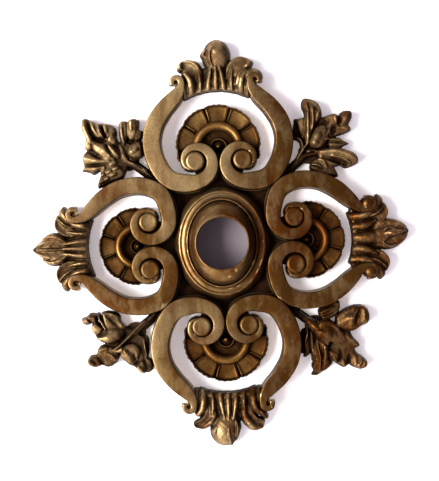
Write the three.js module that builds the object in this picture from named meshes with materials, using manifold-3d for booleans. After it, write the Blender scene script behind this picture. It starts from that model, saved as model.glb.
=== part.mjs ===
// A pierced brass rosette that covers the wall plate of a bell push.
//
// Millimetres. +X is right, +Z is up, the wall is the plane y = 0 and the front faces -Y.
// The rosette is drawn in plan: u right, v up, w out from the wall. One turned group stands
// the plan against the wall, so x = u, y = -w and z = v.
//
// Four arms point up, left, down and right. Each arm is drawn once, in its own plan with q
// across it and p outwards from the centre, and is turned into place. The upper and lower
// arms share the tall pattern, and the left and right arms share the wide one.

import * as THREE from "three";
import { mergeVertices } from "three/addons/utils/BufferGeometryUtils.js";
import Module from "manifold-3d";

const wasm = await Module();
wasm.setup();

// ---------------------------------------------------------------- driving dimensions

const GAP = 0.3; // between pieces that were fitted to each other
const RIVET_CLEARANCE = 0.1;

// Heights above the wall.
const PLATE_TOP = 1.6; // also the seat of every cast piece
const BAND_TOP = 7.2;
const BAND_EDGE = 0.5; // the chamfer round a band's flat top
const EYE_TOP = 8.0;
const GROOVE_FLOOR = 5.0; // inside the volutes and the small curls
const BAND_STEPS = 28; // facets along a scroll
const BUD_HEIGHT = 5.2;
const SEAT_MARGIN = 2; // how far a blank starts below the seat before it is trimmed there

// Reaches past the whole rosette, for blocks that trim.
const ABOVE_ALL = 20;
const FAR = 90;

const PLATE = {
  halfWidth: 18.5,
  halfHeight: 21.5,
  corner: 4,
  openingHalfWidth: 8.8,
  openingHalfHeight: 9.8,
  tongueHalfWidth: 6,
  tallTongue: 35,
  wideTongue: 31,
  armWidth: 3,
  padRadius: 3.4,
  tongueCorner: 4,
};
const ARM_ROOT = [16, 17.5]; // where a diagonal arm leaves the plate, as |u|, |v|
const PAD = [28.8, 27.6]; // the middle of the pad under a spray
const BOSS_RIVET = [9.4, 10.9];

// The boss is round at its hole and grows oval outwards.
const HOLE_RADIUS = 8.05;
const DOME_RADIUS = 10.5;
const OVAL_EXTRA = 2.8; // how much taller than wide the oval is, as a half-axis
const BOSS_SEGMENTS = 36;

// Flush countersunk rivets hold the castings to the back plate from behind.
const RIVET = { shank: 0.9, head: 1.7, headDepth: 0.8, length: 3.6, segments: 8 };

// The spiral that ends each scroll beside the boss.
const VOLUTE = {
  startAngle: THREE.MathUtils.degToRad(-24),
  endAngle: THREE.MathUtils.degToRad(262),
  startRadius: 3.5,
  growth: 0.123, // per radian
  startWidth: 1.2,
  endWidth: 4.6,
  eyeRadius: 2.9,
  stations: 10,
};

// The small curl that ends each scroll at the arm's tip.
const CURL = {
  startAngle: THREE.MathUtils.degToRad(195),
  endAngle: THREE.MathUtils.degToRad(-25),
  startWidth: 2.2,
  endWidth: 1.5,
  stations: 5,
};

// An arm's pattern. A bow point is [q, p, band width]. A blade is [q, p] of its base and of
// its tip, then its width and its height; side blades are mirrored to the other side.
const TALL = {
  voluteCentre: [7.5, 26.1],
  bow: [
    [11.5, 19.4, 5.6],
    [16.0, 20.9, 5.6],
    [19.4, 25.6, 5.6],
    [21.0, 32.0, 5.5],
    [20.0, 37.8, 5.5],
    [16.9, 42.8, 5.2],
    [13.2, 46.6, 4.4],
    [11.5, 48.8, 3.2],
  ],
  curlCentre: [12.4, 51.2],
  curlRadius: 1.5,
  rivet: [12.2, 19.5],
  shellCentre: 30.6,
  shellRadius: 13.3,
  middleBlades: [
    [[-10.8, 49.8], [10.8, 49.8], 5.0, 3.2],
    [[0, 47.4], [0, 58.5], 3.6, 4.8],
    [[0, 55.4], [0, 64.0], 8.2, 5.4],
  ],
  sideBlades: [
    [[1.2, 47.6], [4.6, 56.5], 3.4, 4.2],
    [[3.4, 47.6], [8.6, 57.2], 3.8, 4.2],
    [[7.4, 46.2], [9.2, 55.6], 4.0, 4.4],
    [[6.0, 53.6], [11.6, 57.4], 4.2, 4.6],
  ],
};
const WIDE = {
  voluteCentre: [7.5, 23.0],
  bow: [
    [12.0, 17.0, 5.0],
    [16.6, 19.2, 5.2],
    [19.0, 24.6, 5.2],
    [18.6, 31.2, 5.2],
    [15.9, 36.6, 5.2],
    [12.2, 40.9, 4.4],
    [9.8, 43.6, 3.0],
  ],
  curlCentre: [10.8, 46.5],
  curlRadius: 1.7,
  rivet: [12.0, 17.0],
  shellCentre: 26.8,
  shellRadius: 12.1,
  middleBlades: [
    [[-9.0, 44.6], [9.0, 44.6], 6.2, 3.2],
    [[0, 41.6], [0, 59.6], 6.6, 5.0],
  ],
  sideBlades: [
    [[1.2, 41.8], [5.2, 54.4], 3.8, 4.2],
    [[3.2, 41.8], [8.8, 52.6], 4.2, 4.4],
    [[6.2, 41.0], [7.8, 50.0], 3.8, 4.2],
    [[5.4, 48.0], [12.2, 52.4], 4.6, 4.6],
  ],
};

// Each arm's name, pattern and turn, and the names of its two sides.
const ARMS = [
  { name: "top", pattern: TALL, turn: 0, sides: { 1: "right", [-1]: "left" } },
  { name: "left", pattern: WIDE, turn: Math.PI / 2, sides: { 1: "upper", [-1]: "lower" } },
  { name: "bottom", pattern: TALL, turn: Math.PI, sides: { 1: "left", [-1]: "right" } },
  { name: "right", pattern: WIDE, turn: -Math.PI / 2, sides: { 1: "lower", [-1]: "upper" } },
];

// The line where a tall arm's scroll meets a wide arm's scroll, in one quarter of the plan.
const MITRE_POINT = [15.4, 16.6];
const MITRE_ANGLE = Math.atan2(0.61, 0.79);

// A shell's section, as [radius, height]; its outer edge is the arm's shellRadius.
const SHELL = {
  pinHole: 1.0,
  floor: 2.6,
  cutBelowCentre: 4.2,
  segments: 26,
  petalAngles: [20, 60, 100],
  petalGroove: 0.7,
  petalInner: 8.2,
};

// A spray's blades, as [u, v] of the base and of the tip, then width and height.
const SPRAYS = {
  upper_left: {
    blades: [
      [[-33.5, 29.5], [-43.4, 40.2], 6.0, 4.0],
      [[-33.0, 29.5], [-35.6, 38.8], 6.0, 4.2],
      [[-31.5, 26.6], [-40.2, 32.4], 5.0, 5.0],
      [[-31.0, 27.0], [-43.6, 26.2], 6.2, 4.0],
      [[-32.5, 26.5], [-37.6, 20.4], 4.6, 2.6],
      [[-28.6, 30.4], [-30.4, 39.4], 4.6, 4.0],
      [[-28.6, 31.4], [-25.8, 39.8], 4.4, 4.0],
      [[-31.6, 30.4], [-20.6, 21.2], 2.2, 2.6],
    ],
    bud: [[-25.8, 32.8], [-26.0, 28.0], 4.2],
  },
  upper_right: {
    blades: [
      [[28.0, 28.0], [28.2, 44.6], 5.6, 4.6],
      [[31.0, 34.0], [33.6, 41.0], 4.6, 3.4],
      [[32.6, 33.4], [42.2, 40.0], 5.4, 4.0],
      [[32.6, 32.0], [41.6, 34.4], 4.6, 3.6],
      [[30.6, 30.4], [40.8, 30.2], 3.6, 3.2],
      [[30.0, 27.6], [43.8, 25.0], 5.2, 4.4],
      [[30.4, 28.2], [34.4, 20.6], 5.2, 2.6],
      [[30.0, 31.6], [21.2, 22.4], 2.6, 2.6],
    ],
    bud: [[32.2, 36.0], [31.6, 30.0], 5.2],
  },
  lower_left: {
    blades: [
      [[-32.6, -25.6], [-41.2, -28.6], 5.6, 5.0],
      [[-36.0, -26.6], [-41.8, -22.0], 4.4, 4.0],
      [[-39.8, -24.0], [-45.0, -22.6], 3.4, 3.6],
      [[-32.2, -29.0], [-35.4, -20.6], 5.6, 2.8],
      [[-31.4, -30.4], [-39.2, -33.6], 3.2, 4.4],
      [[-33.2, -33.2], [-43.2, -36.6], 5.2, 4.2],
      [[-29.0, -33.4], [-24.8, -40.2], 5.0, 4.2],
      [[-33.0, -31.0], [-22.4, -22.0], 2.2, 2.6],
    ],
    bud: [[-31.2, -30.8], [-28.0, -37.4], 5.4],
  },
  lower_right: {
    blades: [
      [[32.8, -26.4], [46.0, -23.4], 6.6, 4.8],
      [[30.4, -29.6], [27.8, -42.6], 4.6, 4.2],
      [[31.8, -30.0], [33.6, -39.2], 4.6, 3.6],
      [[32.6, -30.6], [37.6, -40.2], 4.4, 3.8],
      [[33.6, -30.4], [44.6, -40.4], 5.6, 4.2],
      [[33.0, -29.2], [42.4, -32.8], 5.0, 3.6],
      [[29.6, -27.4], [25.2, -36.4], 2.8, 2.8],
      [[29.6, -24.6], [36.0, -21.2], 4.6, 2.6],
      [[31.6, -30.2], [21.6, -21.8], 2.2, 2.6],
    ],
    bud: [[36.2, -27.0], [31.2, -29.8], 5.4],
  },
};
const BLADE_SUNK = 0.3; // how far a blade's middle lies below the seat
const HUB_HEIGHT = 2.8; // the lump of a spray over its pad
const HUB_RADIUS = 3.1;

const BRASS = {
  band: { color: 0x8a744c, roughness: 0.42, metalness: 0.85 },
  leaf: { color: 0x7d6236, roughness: 0.45, metalness: 0.85 },
  shell: { color: 0x6a5130, roughness: 0.5, metalness: 0.85 },
  boss: { color: 0x6d5030, roughness: 0.38, metalness: 0.85 },
  back: { color: 0x3b2c1c, roughness: 0.6, metalness: 0.8 },
  rivet: { color: 0x6b5a3a, roughness: 0.45, metalness: 0.85 },
};

// ---------------------------------------------------------------- solids

// A closed three.js geometry as a solid that can be joined and cut.
function solidOf(geometry) {
  const bare = geometry.index ? geometry.toNonIndexed() : geometry.clone();
  bare.deleteAttribute("normal");
  bare.deleteAttribute("uv");
  const merged = mergeVertices(bare, 1e-4);
  return new wasm.Manifold(
    new wasm.Mesh({
      numProp: 3,
      vertProperties: merged.attributes.position.array,
      triVerts: new Uint32Array(merged.index.array),
    }),
  );
}

function geometryOf(solid) {
  const { vertProperties, triVerts } = solid.getMesh();
  const indexed = new THREE.BufferGeometry();
  indexed.setAttribute("position", new THREE.BufferAttribute(vertProperties, 3));
  indexed.setIndex(new THREE.BufferAttribute(triVerts, 1));
  const faceted = indexed.toNonIndexed();
  faceted.computeVertexNormals();
  return faceted;
}

function join(solids) {
  return solids.reduce((whole, piece) => whole.add(piece));
}

function cut(solid, tools) {
  return tools.reduce((rest, tool) => rest.subtract(tool), solid);
}

// The biggest body, for a piece that a cut leaves with loose slivers.
function mainBody(solid) {
  return solid.decompose().reduce((a, b) => (a.volume() > b.volume() ? a : b));
}

function block([u0, u1], [v0, v1], [w0, w1]) {
  const box = new THREE.BoxGeometry(u1 - u0, v1 - v0, w1 - w0);
  return box.translate((u0 + u1) / 2, (v0 + v1) / 2, (w0 + w1) / 2);
}

// A round bar that stands out from the wall.
function disc([u, v], radius, [w0, w1], segments = 16) {
  const bar = new THREE.CylinderGeometry(radius, radius, w1 - w0, segments);
  return bar.rotateX(Math.PI / 2).translate(u, v, (w0 + w1) / 2);
}

// A turned body whose axis stands out from the wall. The profile is [radius, w] and runs
// round the section with the material on its left.
function turned(profile, segments) {
  const points = profile.map(([radius, w]) => new THREE.Vector2(radius, w));
  return new THREE.LatheGeometry(points, segments).rotateX(Math.PI / 2);
}

// Everything from the cast pieces' seat upwards.
const ABOVE_SEAT = solidOf(block([-FAR, FAR], [-FAR, FAR], [PLATE_TOP, ABOVE_ALL]));

// An egg-shaped lobe from its base to its tip, with its middle a little below the seat.
function blade([base, tip, width, height], segments = 8, grow = 0) {
  const length = Math.hypot(tip[0] - base[0], tip[1] - base[1]);
  const lobe = new THREE.SphereGeometry(1, segments, 4);
  lobe.scale(length / 2 + grow, width / 2 + grow, height + BLADE_SUNK + grow);
  lobe.rotateZ(Math.atan2(tip[1] - base[1], tip[0] - base[0]));
  lobe.translate((base[0] + tip[0]) / 2, (base[1] + tip[1]) / 2, PLATE_TOP - BLADE_SUNK);
  return solidOf(lobe);
}

function mirrored([base, tip, width, height]) {
  return [[-base[0], base[1]], [-tip[0], tip[1]], width, height];
}

// ---------------------------------------------------------------- scrolls

// Stations along a spiral arc: x and y are q and p, and z is the band's width.
function spiral([q, p], form, radiusAt) {
  return Array.from({ length: form.stations }, (_, i) => {
    const t = i / (form.stations - 1);
    const angle = THREE.MathUtils.lerp(form.startAngle, form.endAngle, t);
    const radius = radiusAt(angle);
    return new THREE.Vector3(
      q + radius * Math.cos(angle),
      p + radius * Math.sin(angle),
      THREE.MathUtils.lerp(form.startWidth, form.endWidth, t),
    );
  });
}

function centreline(arm) {
  const voluteRadius = (angle) =>
    VOLUTE.startRadius * Math.exp(VOLUTE.growth * (angle - VOLUTE.startAngle));
  const stations = [
    ...spiral(arm.voluteCentre, VOLUTE, voluteRadius),
    ...arm.bow.map((point) => new THREE.Vector3(...point)),
    ...spiral(arm.curlCentre, CURL, () => arm.curlRadius),
  ];
  return new THREE.CatmullRomCurve3(stations, false, "centripetal");
}

// The band's outline, on side +1 or -1 of the arm, grown by the gap when it is a cutter.
function bandShape(arm, side, grow) {
  const curve = centreline(arm);
  const left = [];
  const right = [];
  for (let i = 0; i <= BAND_STEPS; i++) {
    const at = curve.getPoint(i / BAND_STEPS);
    const along = curve.getTangent(i / BAND_STEPS).setZ(0).normalize();
    const half = at.z / 2 + grow;
    left.push(new THREE.Vector2(side * (at.x - half * along.y), at.y + half * along.x));
    right.push(new THREE.Vector2(side * (at.x + half * along.y), at.y - half * along.x));
  }
  return new THREE.Shape([...left, ...right.reverse()]);
}

// A scroll before it is trimmed. It runs on below the seat, so that as a cutter it goes
// right through its neighbours.
function scrollBlank(arm, side, grow = 0) {
  const band = new THREE.ExtrudeGeometry(bandShape(arm, side, grow), {
    depth: BAND_TOP - PLATE_TOP + SEAT_MARGIN - BAND_EDGE + grow,
    bevelThickness: BAND_EDGE,
    bevelSize: BAND_EDGE,
    bevelOffset: -BAND_EDGE,
    bevelSegments: 1,
    curveSegments: 1,
  }).translate(0, 0, PLATE_TOP - SEAT_MARGIN);
  const [q, p] = arm.voluteCentre;
  const volute = [side * q, p];
  const curl = [side * arm.curlCentre[0], arm.curlCentre[1]];
  return join([
    solidOf(band),
    solidOf(disc(volute, VOLUTE.startRadius + 0.4 + grow, [0, GROOVE_FLOOR])),
    solidOf(disc(volute, VOLUTE.eyeRadius, [0, EYE_TOP])),
    solidOf(disc(curl, arm.curlRadius + grow, [0, GROOVE_FLOOR], 12)),
  ]);
}

// A block that covers everything past the mitre, on the far side from the given arm.
function pastMitre(arm, side) {
  const beyond = block([-FAR, FAR], [-FAR, -GAP / 2], [0, ABOVE_ALL]);
  const isTall = arm === TALL;
  const [q, p] = isTall ? MITRE_POINT : [MITRE_POINT[1], MITRE_POINT[0]];
  const angle = isTall ? MITRE_ANGLE : Math.PI / 2 - MITRE_ANGLE;
  beyond.rotateZ(side * angle);
  return solidOf(beyond.translate(side * q, p, 0));
}

function scroll(arm, side) {
  const rivetHole = disc(
    [side * arm.rivet[0], arm.rivet[1]],
    RIVET.shank + RIVET_CLEARANCE,
    [0, RIVET.length + RIVET_CLEARANCE],
    RIVET.segments,
  );
  const whole = scrollBlank(arm, side).intersect(ABOVE_SEAT);
  return cut(whole, [pastMitre(arm, side), solidOf(rivetHole)]);
}

// ---------------------------------------------------------------- shells and palmettes

function shell(arm) {
  const rim = arm.shellRadius;
  const profile = [
    [SHELL.pinHole, PLATE_TOP],
    [rim, PLATE_TOP],
    [rim, 3.8],
    [rim - 0.6, 4.4],
    [rim - 1.6, 3.4],
    [8.0, 3.4],
    [7.4, 4.9],
    [6.2, 5.2],
    [5.3, 4.4],
    [4.4, SHELL.floor],
    [SHELL.pinHole, SHELL.floor],
    [SHELL.pinHole, PLATE_TOP],
  ];
  const disk = turned(profile, SHELL.segments).translate(0, arm.shellCentre, 0);
  const edge = arm.shellCentre - SHELL.cutBelowCentre;
  const outerPart = solidOf(block([-FAR, FAR], [edge, FAR], [0, ABOVE_ALL]));
  const grooves = SHELL.petalAngles
    .flatMap((angle) => [angle, -angle])
    .map((angle) => petalGroove(arm, angle));
  return mainBody(
    cut(solidOf(disk).intersect(outerPart), [
      ...grooves,
      scrollBlank(arm, 1, GAP),
      scrollBlank(arm, -1, GAP),
    ]),
  );
}

// A radial groove between two petals, at an angle from the arm's outward direction.
function petalGroove(arm, degrees) {
  const half = SHELL.petalGroove / 2;
  const groove = block([-half, half], [SHELL.petalInner, FAR], [SHELL.floor, ABOVE_ALL]);
  groove.rotateZ(THREE.MathUtils.degToRad(degrees));
  return solidOf(groove.translate(0, arm.shellCentre, 0));
}

function shellPin() {
  return turned(
    [
      [0, 0],
      [0.9, 0],
      [0.9, SHELL.floor + GAP],
      [1.5, SHELL.floor + GAP],
      [1.4, 4.0],
      [0.9, 4.7],
      [0, 4.9],
    ],
    8,
  );
}

function palmette(arm) {
  const blades = [
    ...arm.middleBlades,
    ...arm.sideBlades,
    ...arm.sideBlades.map(mirrored),
  ].map((form) => blade(form));
  const neighbours = [scrollBlank(arm, 1, GAP), scrollBlank(arm, -1, GAP)];
  return mainBody(cut(join(blades), neighbours).intersect(ABOVE_SEAT));
}

// ---------------------------------------------------------------- boss

// Stretches a round body upwards and downwards into the boss's oval.
function makeOval(geometry) {
  const position = geometry.getAttribute("position");
  for (let i = 0; i < position.count; i++) {
    const radius = Math.hypot(position.getX(i), position.getY(i));
    const share = (radius - HOLE_RADIUS) / (DOME_RADIUS - HOLE_RADIUS);
    const extra = OVAL_EXTRA * THREE.MathUtils.clamp(share, 0, 1);
    position.setY(i, position.getY(i) * (1 + extra / radius));
  }
  return geometry;
}

function bossDome() {
  return makeOval(
    turned(
      [
        [8.95, PLATE_TOP],
        [DOME_RADIUS, PLATE_TOP],
        [DOME_RADIUS, 6.4],
        [10.2, 8.6],
        [9.6, 10.4],
        [8.8, 11.8],
        [8.3, 12.4],
        [HOLE_RADIUS, 12.5],
        [HOLE_RADIUS, 11.6],
        [8.95, 9.4],
        [8.95, PLATE_TOP],
      ],
      BOSS_SEGMENTS,
    ),
  );
}

function bossRing() {
  const inner = DOME_RADIUS + GAP;
  const ring = makeOval(
    turned(
      [
        [inner, PLATE_TOP],
        [15.1, PLATE_TOP],
        [15.1, 4.0],
        [14.4, 5.6],
        [13.1, 6.2],
        [12.8, 7.2],
        [12.2, 8.2],
        [11.6, 8.2],
        [inner, 6.6],
        [inner, PLATE_TOP],
      ],
      BOSS_SEGMENTS,
    ),
  );
  return cut(solidOf(ring), quarters(BOSS_RIVET).map(({ at }) => rivetHole(at)));
}

// ---------------------------------------------------------------- rivets

function rivet() {
  return turned(
    [
      [0, 0],
      [RIVET.head, 0],
      [RIVET.shank, RIVET.headDepth],
      [RIVET.shank, RIVET.length],
      [0, RIVET.length],
    ],
    RIVET.segments,
  );
}

// The hole that a rivet needs, through the plate and into the casting on it.
function rivetHole([u, v]) {
  const below = 1;
  const slope = (RIVET.head - RIVET.shank) / RIVET.headDepth;
  const hole = turned(
    [
      [0, -below],
      [RIVET.head + RIVET_CLEARANCE + slope * below, -below],
      [RIVET.shank + RIVET_CLEARANCE, RIVET.headDepth],
      [RIVET.shank + RIVET_CLEARANCE, RIVET.length + RIVET_CLEARANCE],
      [0, RIVET.length + RIVET_CLEARANCE],
    ],
    RIVET.segments,
  );
  return solidOf(hole.translate(u, v, 0));
}

// ---------------------------------------------------------------- sprays

function spray({ blades, bud: budForm }, pad) {
  const hub = disc(pad, HUB_RADIUS, [0, PLATE_TOP + HUB_HEIGHT], 12);
  const whole = join([solidOf(hub), ...blades.map((form) => blade(form))]);
  const tools = [rivetHole(pad), blade([...budForm, BUD_HEIGHT], 12, GAP), ...boundaryScrolls()];
  return mainBody(cut(whole, tools).intersect(ABOVE_SEAT));
}

function bud(form) {
  return blade([...form, BUD_HEIGHT], 12).intersect(ABOVE_SEAT);
}

// The scrolls in plan coordinates, grown by the gap, so that a spray can be fitted to them.
function boundaryScrolls() {
  return ARMS.flatMap(({ pattern, turn }) =>
    [1, -1].map((side) => {
      const blank = geometryOf(scrollBlank(pattern, side, GAP));
      return solidOf(blank.rotateZ(turn));
    }),
  );
}

// ---------------------------------------------------------------- back plate

// Where a point given as |u|, |v| falls in each quarter of the plan.
function quarters([u, v]) {
  return [
    { name: "upper_left", at: [-u, v] },
    { name: "upper_right", at: [u, v] },
    { name: "lower_left", at: [-u, -v] },
    { name: "lower_right", at: [u, -v] },
  ];
}

function roundedSlab(halfWidth, halfHeight, corner) {
  const shape = new THREE.Shape();
  shape.absarc(halfWidth - corner, halfHeight - corner, corner, 0, Math.PI / 2);
  shape.absarc(corner - halfWidth, halfHeight - corner, corner, Math.PI / 2, Math.PI);
  shape.absarc(corner - halfWidth, corner - halfHeight, corner, Math.PI, 1.5 * Math.PI);
  shape.absarc(halfWidth - corner, corner - halfHeight, corner, 1.5 * Math.PI, 2 * Math.PI);
  const slab = new THREE.ExtrudeGeometry(shape, {
    depth: PLATE_TOP,
    bevelEnabled: false,
    curveSegments: 4,
  });
  return solidOf(slab);
}

function diagonalArm([u, v]) {
  const [rootU, rootV] = [Math.sign(u) * ARM_ROOT[0], Math.sign(v) * ARM_ROOT[1]];
  const length = Math.hypot(u - rootU, v - rootV);
  const bar = new THREE.BoxGeometry(length, PLATE.armWidth, PLATE_TOP);
  bar.rotateZ(Math.atan2(v - rootV, u - rootU));
  bar.translate((u + rootU) / 2, (v + rootV) / 2, PLATE_TOP / 2);
  return join([solidOf(bar), solidOf(disc([u, v], PLATE.padRadius, [0, PLATE_TOP]))]);
}

function backPlate() {
  const tongue = PLATE.tongueHalfWidth;
  const whole = join([
    roundedSlab(PLATE.halfWidth, PLATE.halfHeight, PLATE.corner),
    roundedSlab(tongue, PLATE.tallTongue, PLATE.tongueCorner),
    roundedSlab(PLATE.wideTongue, tongue, PLATE.tongueCorner),
    ...quarters(PAD).map(({ at }) => diagonalArm(at)),
  ]);
  const opening = disc([0, 0], 1, [-1, PLATE_TOP + 1], 32);
  opening.scale(PLATE.openingHalfWidth, PLATE.openingHalfHeight, 1);
  const pinHoles = ARMS.map(({ pattern, turn }) => {
    const hole = disc([0, pattern.shellCentre], SHELL.pinHole, [-1, PLATE_TOP + 1], 8);
    return solidOf(hole.rotateZ(turn));
  });
  const scrollRivetHoles = ARMS.flatMap(({ pattern, turn }) =>
    [1, -1].map((side) => {
      const at = new THREE.Vector2(side * pattern.rivet[0], pattern.rivet[1]);
      at.rotateAround(new THREE.Vector2(), turn);
      return rivetHole([at.x, at.y]);
    }),
  );
  return cut(whole, [
    solidOf(opening),
    ...pinHoles,
    ...scrollRivetHoles,
    ...quarters(BOSS_RIVET).map(({ at }) => rivetHole(at)),
    ...quarters(PAD).map(({ at }) => rivetHole(at)),
  ]);
}

// ---------------------------------------------------------------- assembly

function meshOf(name, shape, finish) {
  const geometry = shape.isBufferGeometry ? shape : geometryOf(shape);
  const mesh = new THREE.Mesh(geometry, new THREE.MeshStandardMaterial(finish));
  mesh.name = name;
  return mesh;
}

function armGroup({ name, pattern, turn, sides }) {
  const group = new THREE.Group();
  for (const side of [1, -1]) {
    group.add(meshOf(`scroll_${name}_${sides[side]}`, scroll(pattern, side), BRASS.band));
    const pin = meshOf(`scroll_rivet_${name}_${sides[side]}`, rivet(), BRASS.rivet);
    pin.position.set(side * pattern.rivet[0], pattern.rivet[1], 0);
    group.add(pin);
  }
  group.add(meshOf(`palmette_${name}`, palmette(pattern), BRASS.leaf));
  group.add(meshOf(`shell_${name}`, shell(pattern), BRASS.shell));
  const pin = meshOf(`shell_pin_${name}`, shellPin(), BRASS.shell);
  pin.position.set(0, pattern.shellCentre, 0);
  group.add(pin);
  group.rotation.z = turn;
  return group;
}

function cornerGroup({ name, at }) {
  const group = new THREE.Group();
  group.add(meshOf(`leaf_spray_${name}`, spray(SPRAYS[name], at), BRASS.leaf));
  group.add(meshOf(`bud_${name}`, bud(SPRAYS[name].bud), BRASS.leaf));
  const pin = meshOf(`spray_rivet_${name}`, rivet(), BRASS.rivet);
  pin.position.set(...at, 0);
  group.add(pin);
  return group;
}

function bossGroup() {
  const group = new THREE.Group();
  group.add(meshOf("boss_ring", bossRing(), BRASS.boss));
  group.add(meshOf("boss_dome", bossDome(), BRASS.boss));
  for (const { name, at } of quarters(BOSS_RIVET)) {
    const pin = meshOf(`boss_rivet_${name}`, rivet(), BRASS.rivet);
    pin.position.set(...at, 0);
    group.add(pin);
  }
  return group;
}

const rosette = new THREE.Group();
rosette.add(meshOf("back_plate", backPlate(), BRASS.back));
rosette.add(bossGroup());
for (const arm of ARMS) {
  rosette.add(armGroup(arm));
}
for (const corner of quarters(PAD)) {
  rosette.add(cornerGroup(corner));
}
rosette.rotation.x = Math.PI / 2;

const wallPlateCover = new THREE.Group();
wallPlateCover.add(rosette);

export default wallPlateCover;
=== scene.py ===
"""A pierced brass rosette that covers a bell push's wall plate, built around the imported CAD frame.

The pieces are drawn in plan, in millimetres: u right, v up, w out from the wall. A plan point
(u, v, w) stands at x = u, y = -w, z = v, and every mesh is written in metres. Each arm of the
rosette is drawn in its own plan, q across and p outwards, and turned into place.
"""

import math

import bmesh
import bpy
import numpy as np
import openvdb
from mathutils import Matrix, Vector


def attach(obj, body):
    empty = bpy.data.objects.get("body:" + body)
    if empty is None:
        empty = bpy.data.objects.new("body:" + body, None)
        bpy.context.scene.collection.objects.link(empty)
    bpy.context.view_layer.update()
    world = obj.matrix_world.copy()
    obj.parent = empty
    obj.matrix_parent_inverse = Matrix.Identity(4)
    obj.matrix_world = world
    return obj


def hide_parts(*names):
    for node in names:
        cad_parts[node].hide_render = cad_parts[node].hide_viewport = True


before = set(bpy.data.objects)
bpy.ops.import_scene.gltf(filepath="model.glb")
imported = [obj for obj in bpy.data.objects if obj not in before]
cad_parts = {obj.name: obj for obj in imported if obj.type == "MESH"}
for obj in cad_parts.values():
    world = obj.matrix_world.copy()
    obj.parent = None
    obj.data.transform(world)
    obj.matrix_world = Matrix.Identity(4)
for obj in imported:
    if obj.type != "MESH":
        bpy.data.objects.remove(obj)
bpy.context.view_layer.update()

MM = 0.001
BODY = "root"

# ---------------------------------------------------------------- driving dimensions, in mm

SEAT = 1.6  # the back plate's front, where the castings stand
BAND_TOP = 7.2
GROOVE_FLOOR = 4.6
EYE_TOP = 7.9
SEAM = 0.22  # the joint between two bands, where it still shows
BLENDED_CORNERS = (("top", -1), ("left", 1), ("bottom", -1), ("right", 1))

VOLUTE = dict(
    start=math.radians(-24),
    end=math.radians(262),
    radius=3.5,
    growth=0.123,
    widths=(1.2, 4.6),
    eye=3.12,
    stations=10,
)
VOLUTE_LEAD = ((-82, 1.9), (-54, 2.75))  # degrees and radius, inside the eye
CURL = dict(start=math.radians(195), end=math.radians(-25), widths=(2.2, 1.5), stations=5)

TALL = dict(
    volute_centre=(7.5, 26.1),
    bow=(
        (11.5, 19.4, 5.6),
        (16.0, 20.9, 5.6),
        (19.4, 25.6, 5.6),
        (21.0, 32.0, 5.5),
        (20.0, 37.8, 5.5),
        (16.9, 42.8, 5.2),
        (13.2, 46.6, 4.4),
        (11.5, 48.8, 3.2),
    ),
    curl_centre=(12.4, 51.2),
    curl_radius=1.5,
    shell_centre=30.6,
    shell_radius=13.3,
)
WIDE = dict(
    volute_centre=(7.5, 23.0),
    bow=(
        (12.0, 17.0, 5.0),
        (16.6, 19.2, 5.2),
        (19.0, 24.6, 5.2),
        (18.6, 31.2, 5.2),
        (15.9, 36.6, 5.2),
        (12.2, 40.9, 4.4),
        (9.8, 43.6, 3.0),
    ),
    curl_centre=(10.8, 46.5),
    curl_radius=1.7,
    shell_centre=26.8,
    shell_radius=12.1,
)
MITRE_POINT = (15.4, 16.6)
MITRE_ANGLE = math.atan2(0.61, 0.79)

ARMS = (
    dict(name="top", pattern=TALL, turn=0, sides={1: "right", -1: "left"}),
    dict(name="left", pattern=WIDE, turn=90, sides={1: "upper", -1: "lower"}),
    dict(name="bottom", pattern=TALL, turn=180, sides={1: "left", -1: "right"}),
    dict(name="right", pattern=WIDE, turn=-90, sides={1: "lower", -1: "upper"}),
)

HOLE_RADIUS = 8.05
DOME_RADIUS = 10.5
OVAL_EXTRA = 2.8  # how much higher than wide the boss is, to each side

VOLUTE_FILL = dict(across=3.0, below=0.3, radius=1.0)  # fills the groove where the band meets its eye
CURL_DISC = dict(radius=1.1, sunk=0.9)
PAST_ALL = 60  # farther out than any piece reaches
THROUGH = (-1, 20)  # from behind the wall to in front of every piece

# ---------------------------------------------------------------- mesh helpers


def to_scene(plan):
    """Plan points in mm as scene points in metres."""
    plan = np.asarray(plan, float)
    return np.column_stack([plan[:, 0], -plan[:, 2], plan[:, 1]]) * MM


def turned_by(plan, degrees):
    """Plan points turned about the rosette's axis, anticlockwise as the front shows them."""
    angle = math.radians(degrees)
    cos, sin = math.cos(angle), math.sin(angle)
    plan = np.asarray(plan, float)
    u = plan[:, 0] * cos - plan[:, 1] * sin
    v = plan[:, 0] * sin + plan[:, 1] * cos
    return np.column_stack([u, v, plan[:, 2]])


def new_object(name, plan, faces):
    mesh = bpy.data.meshes.new(name)
    mesh.from_pydata(to_scene(plan).tolist(), [], faces)
    mesh.validate()
    obj = bpy.data.objects.new(name, mesh)
    bpy.context.scene.collection.objects.link(obj)
    face_out(obj)
    return obj


def face_out(obj):
    bm = bmesh.new()
    bm.from_mesh(obj.data)
    bmesh.ops.recalc_face_normals(bm, faces=bm.faces)
    bm.to_mesh(obj.data)
    bm.free()


def smooth(obj, sharp_degrees=38):
    mesh = obj.data
    mesh.shade_smooth()
    mesh.set_sharp_from_angle(angle=math.radians(sharp_degrees))


def combine(obj, others, operation="UNION"):
    """Applies a boolean with each of the other objects, and deletes them."""
    for other in others:
        modifier = obj.modifiers.new("combine", "BOOLEAN")
        modifier.operation = operation
        modifier.solver = "MANIFOLD"
        modifier.object = other
        apply_modifiers(obj)
        bpy.data.objects.remove(other)


def apply_modifiers(obj):
    depsgraph = bpy.context.evaluated_depsgraph_get()
    made = bpy.data.meshes.new_from_object(obj.evaluated_get(depsgraph))
    old = obj.data
    obj.modifiers.clear()
    obj.data = made
    made.name = obj.name
    bpy.data.meshes.remove(old)


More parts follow.
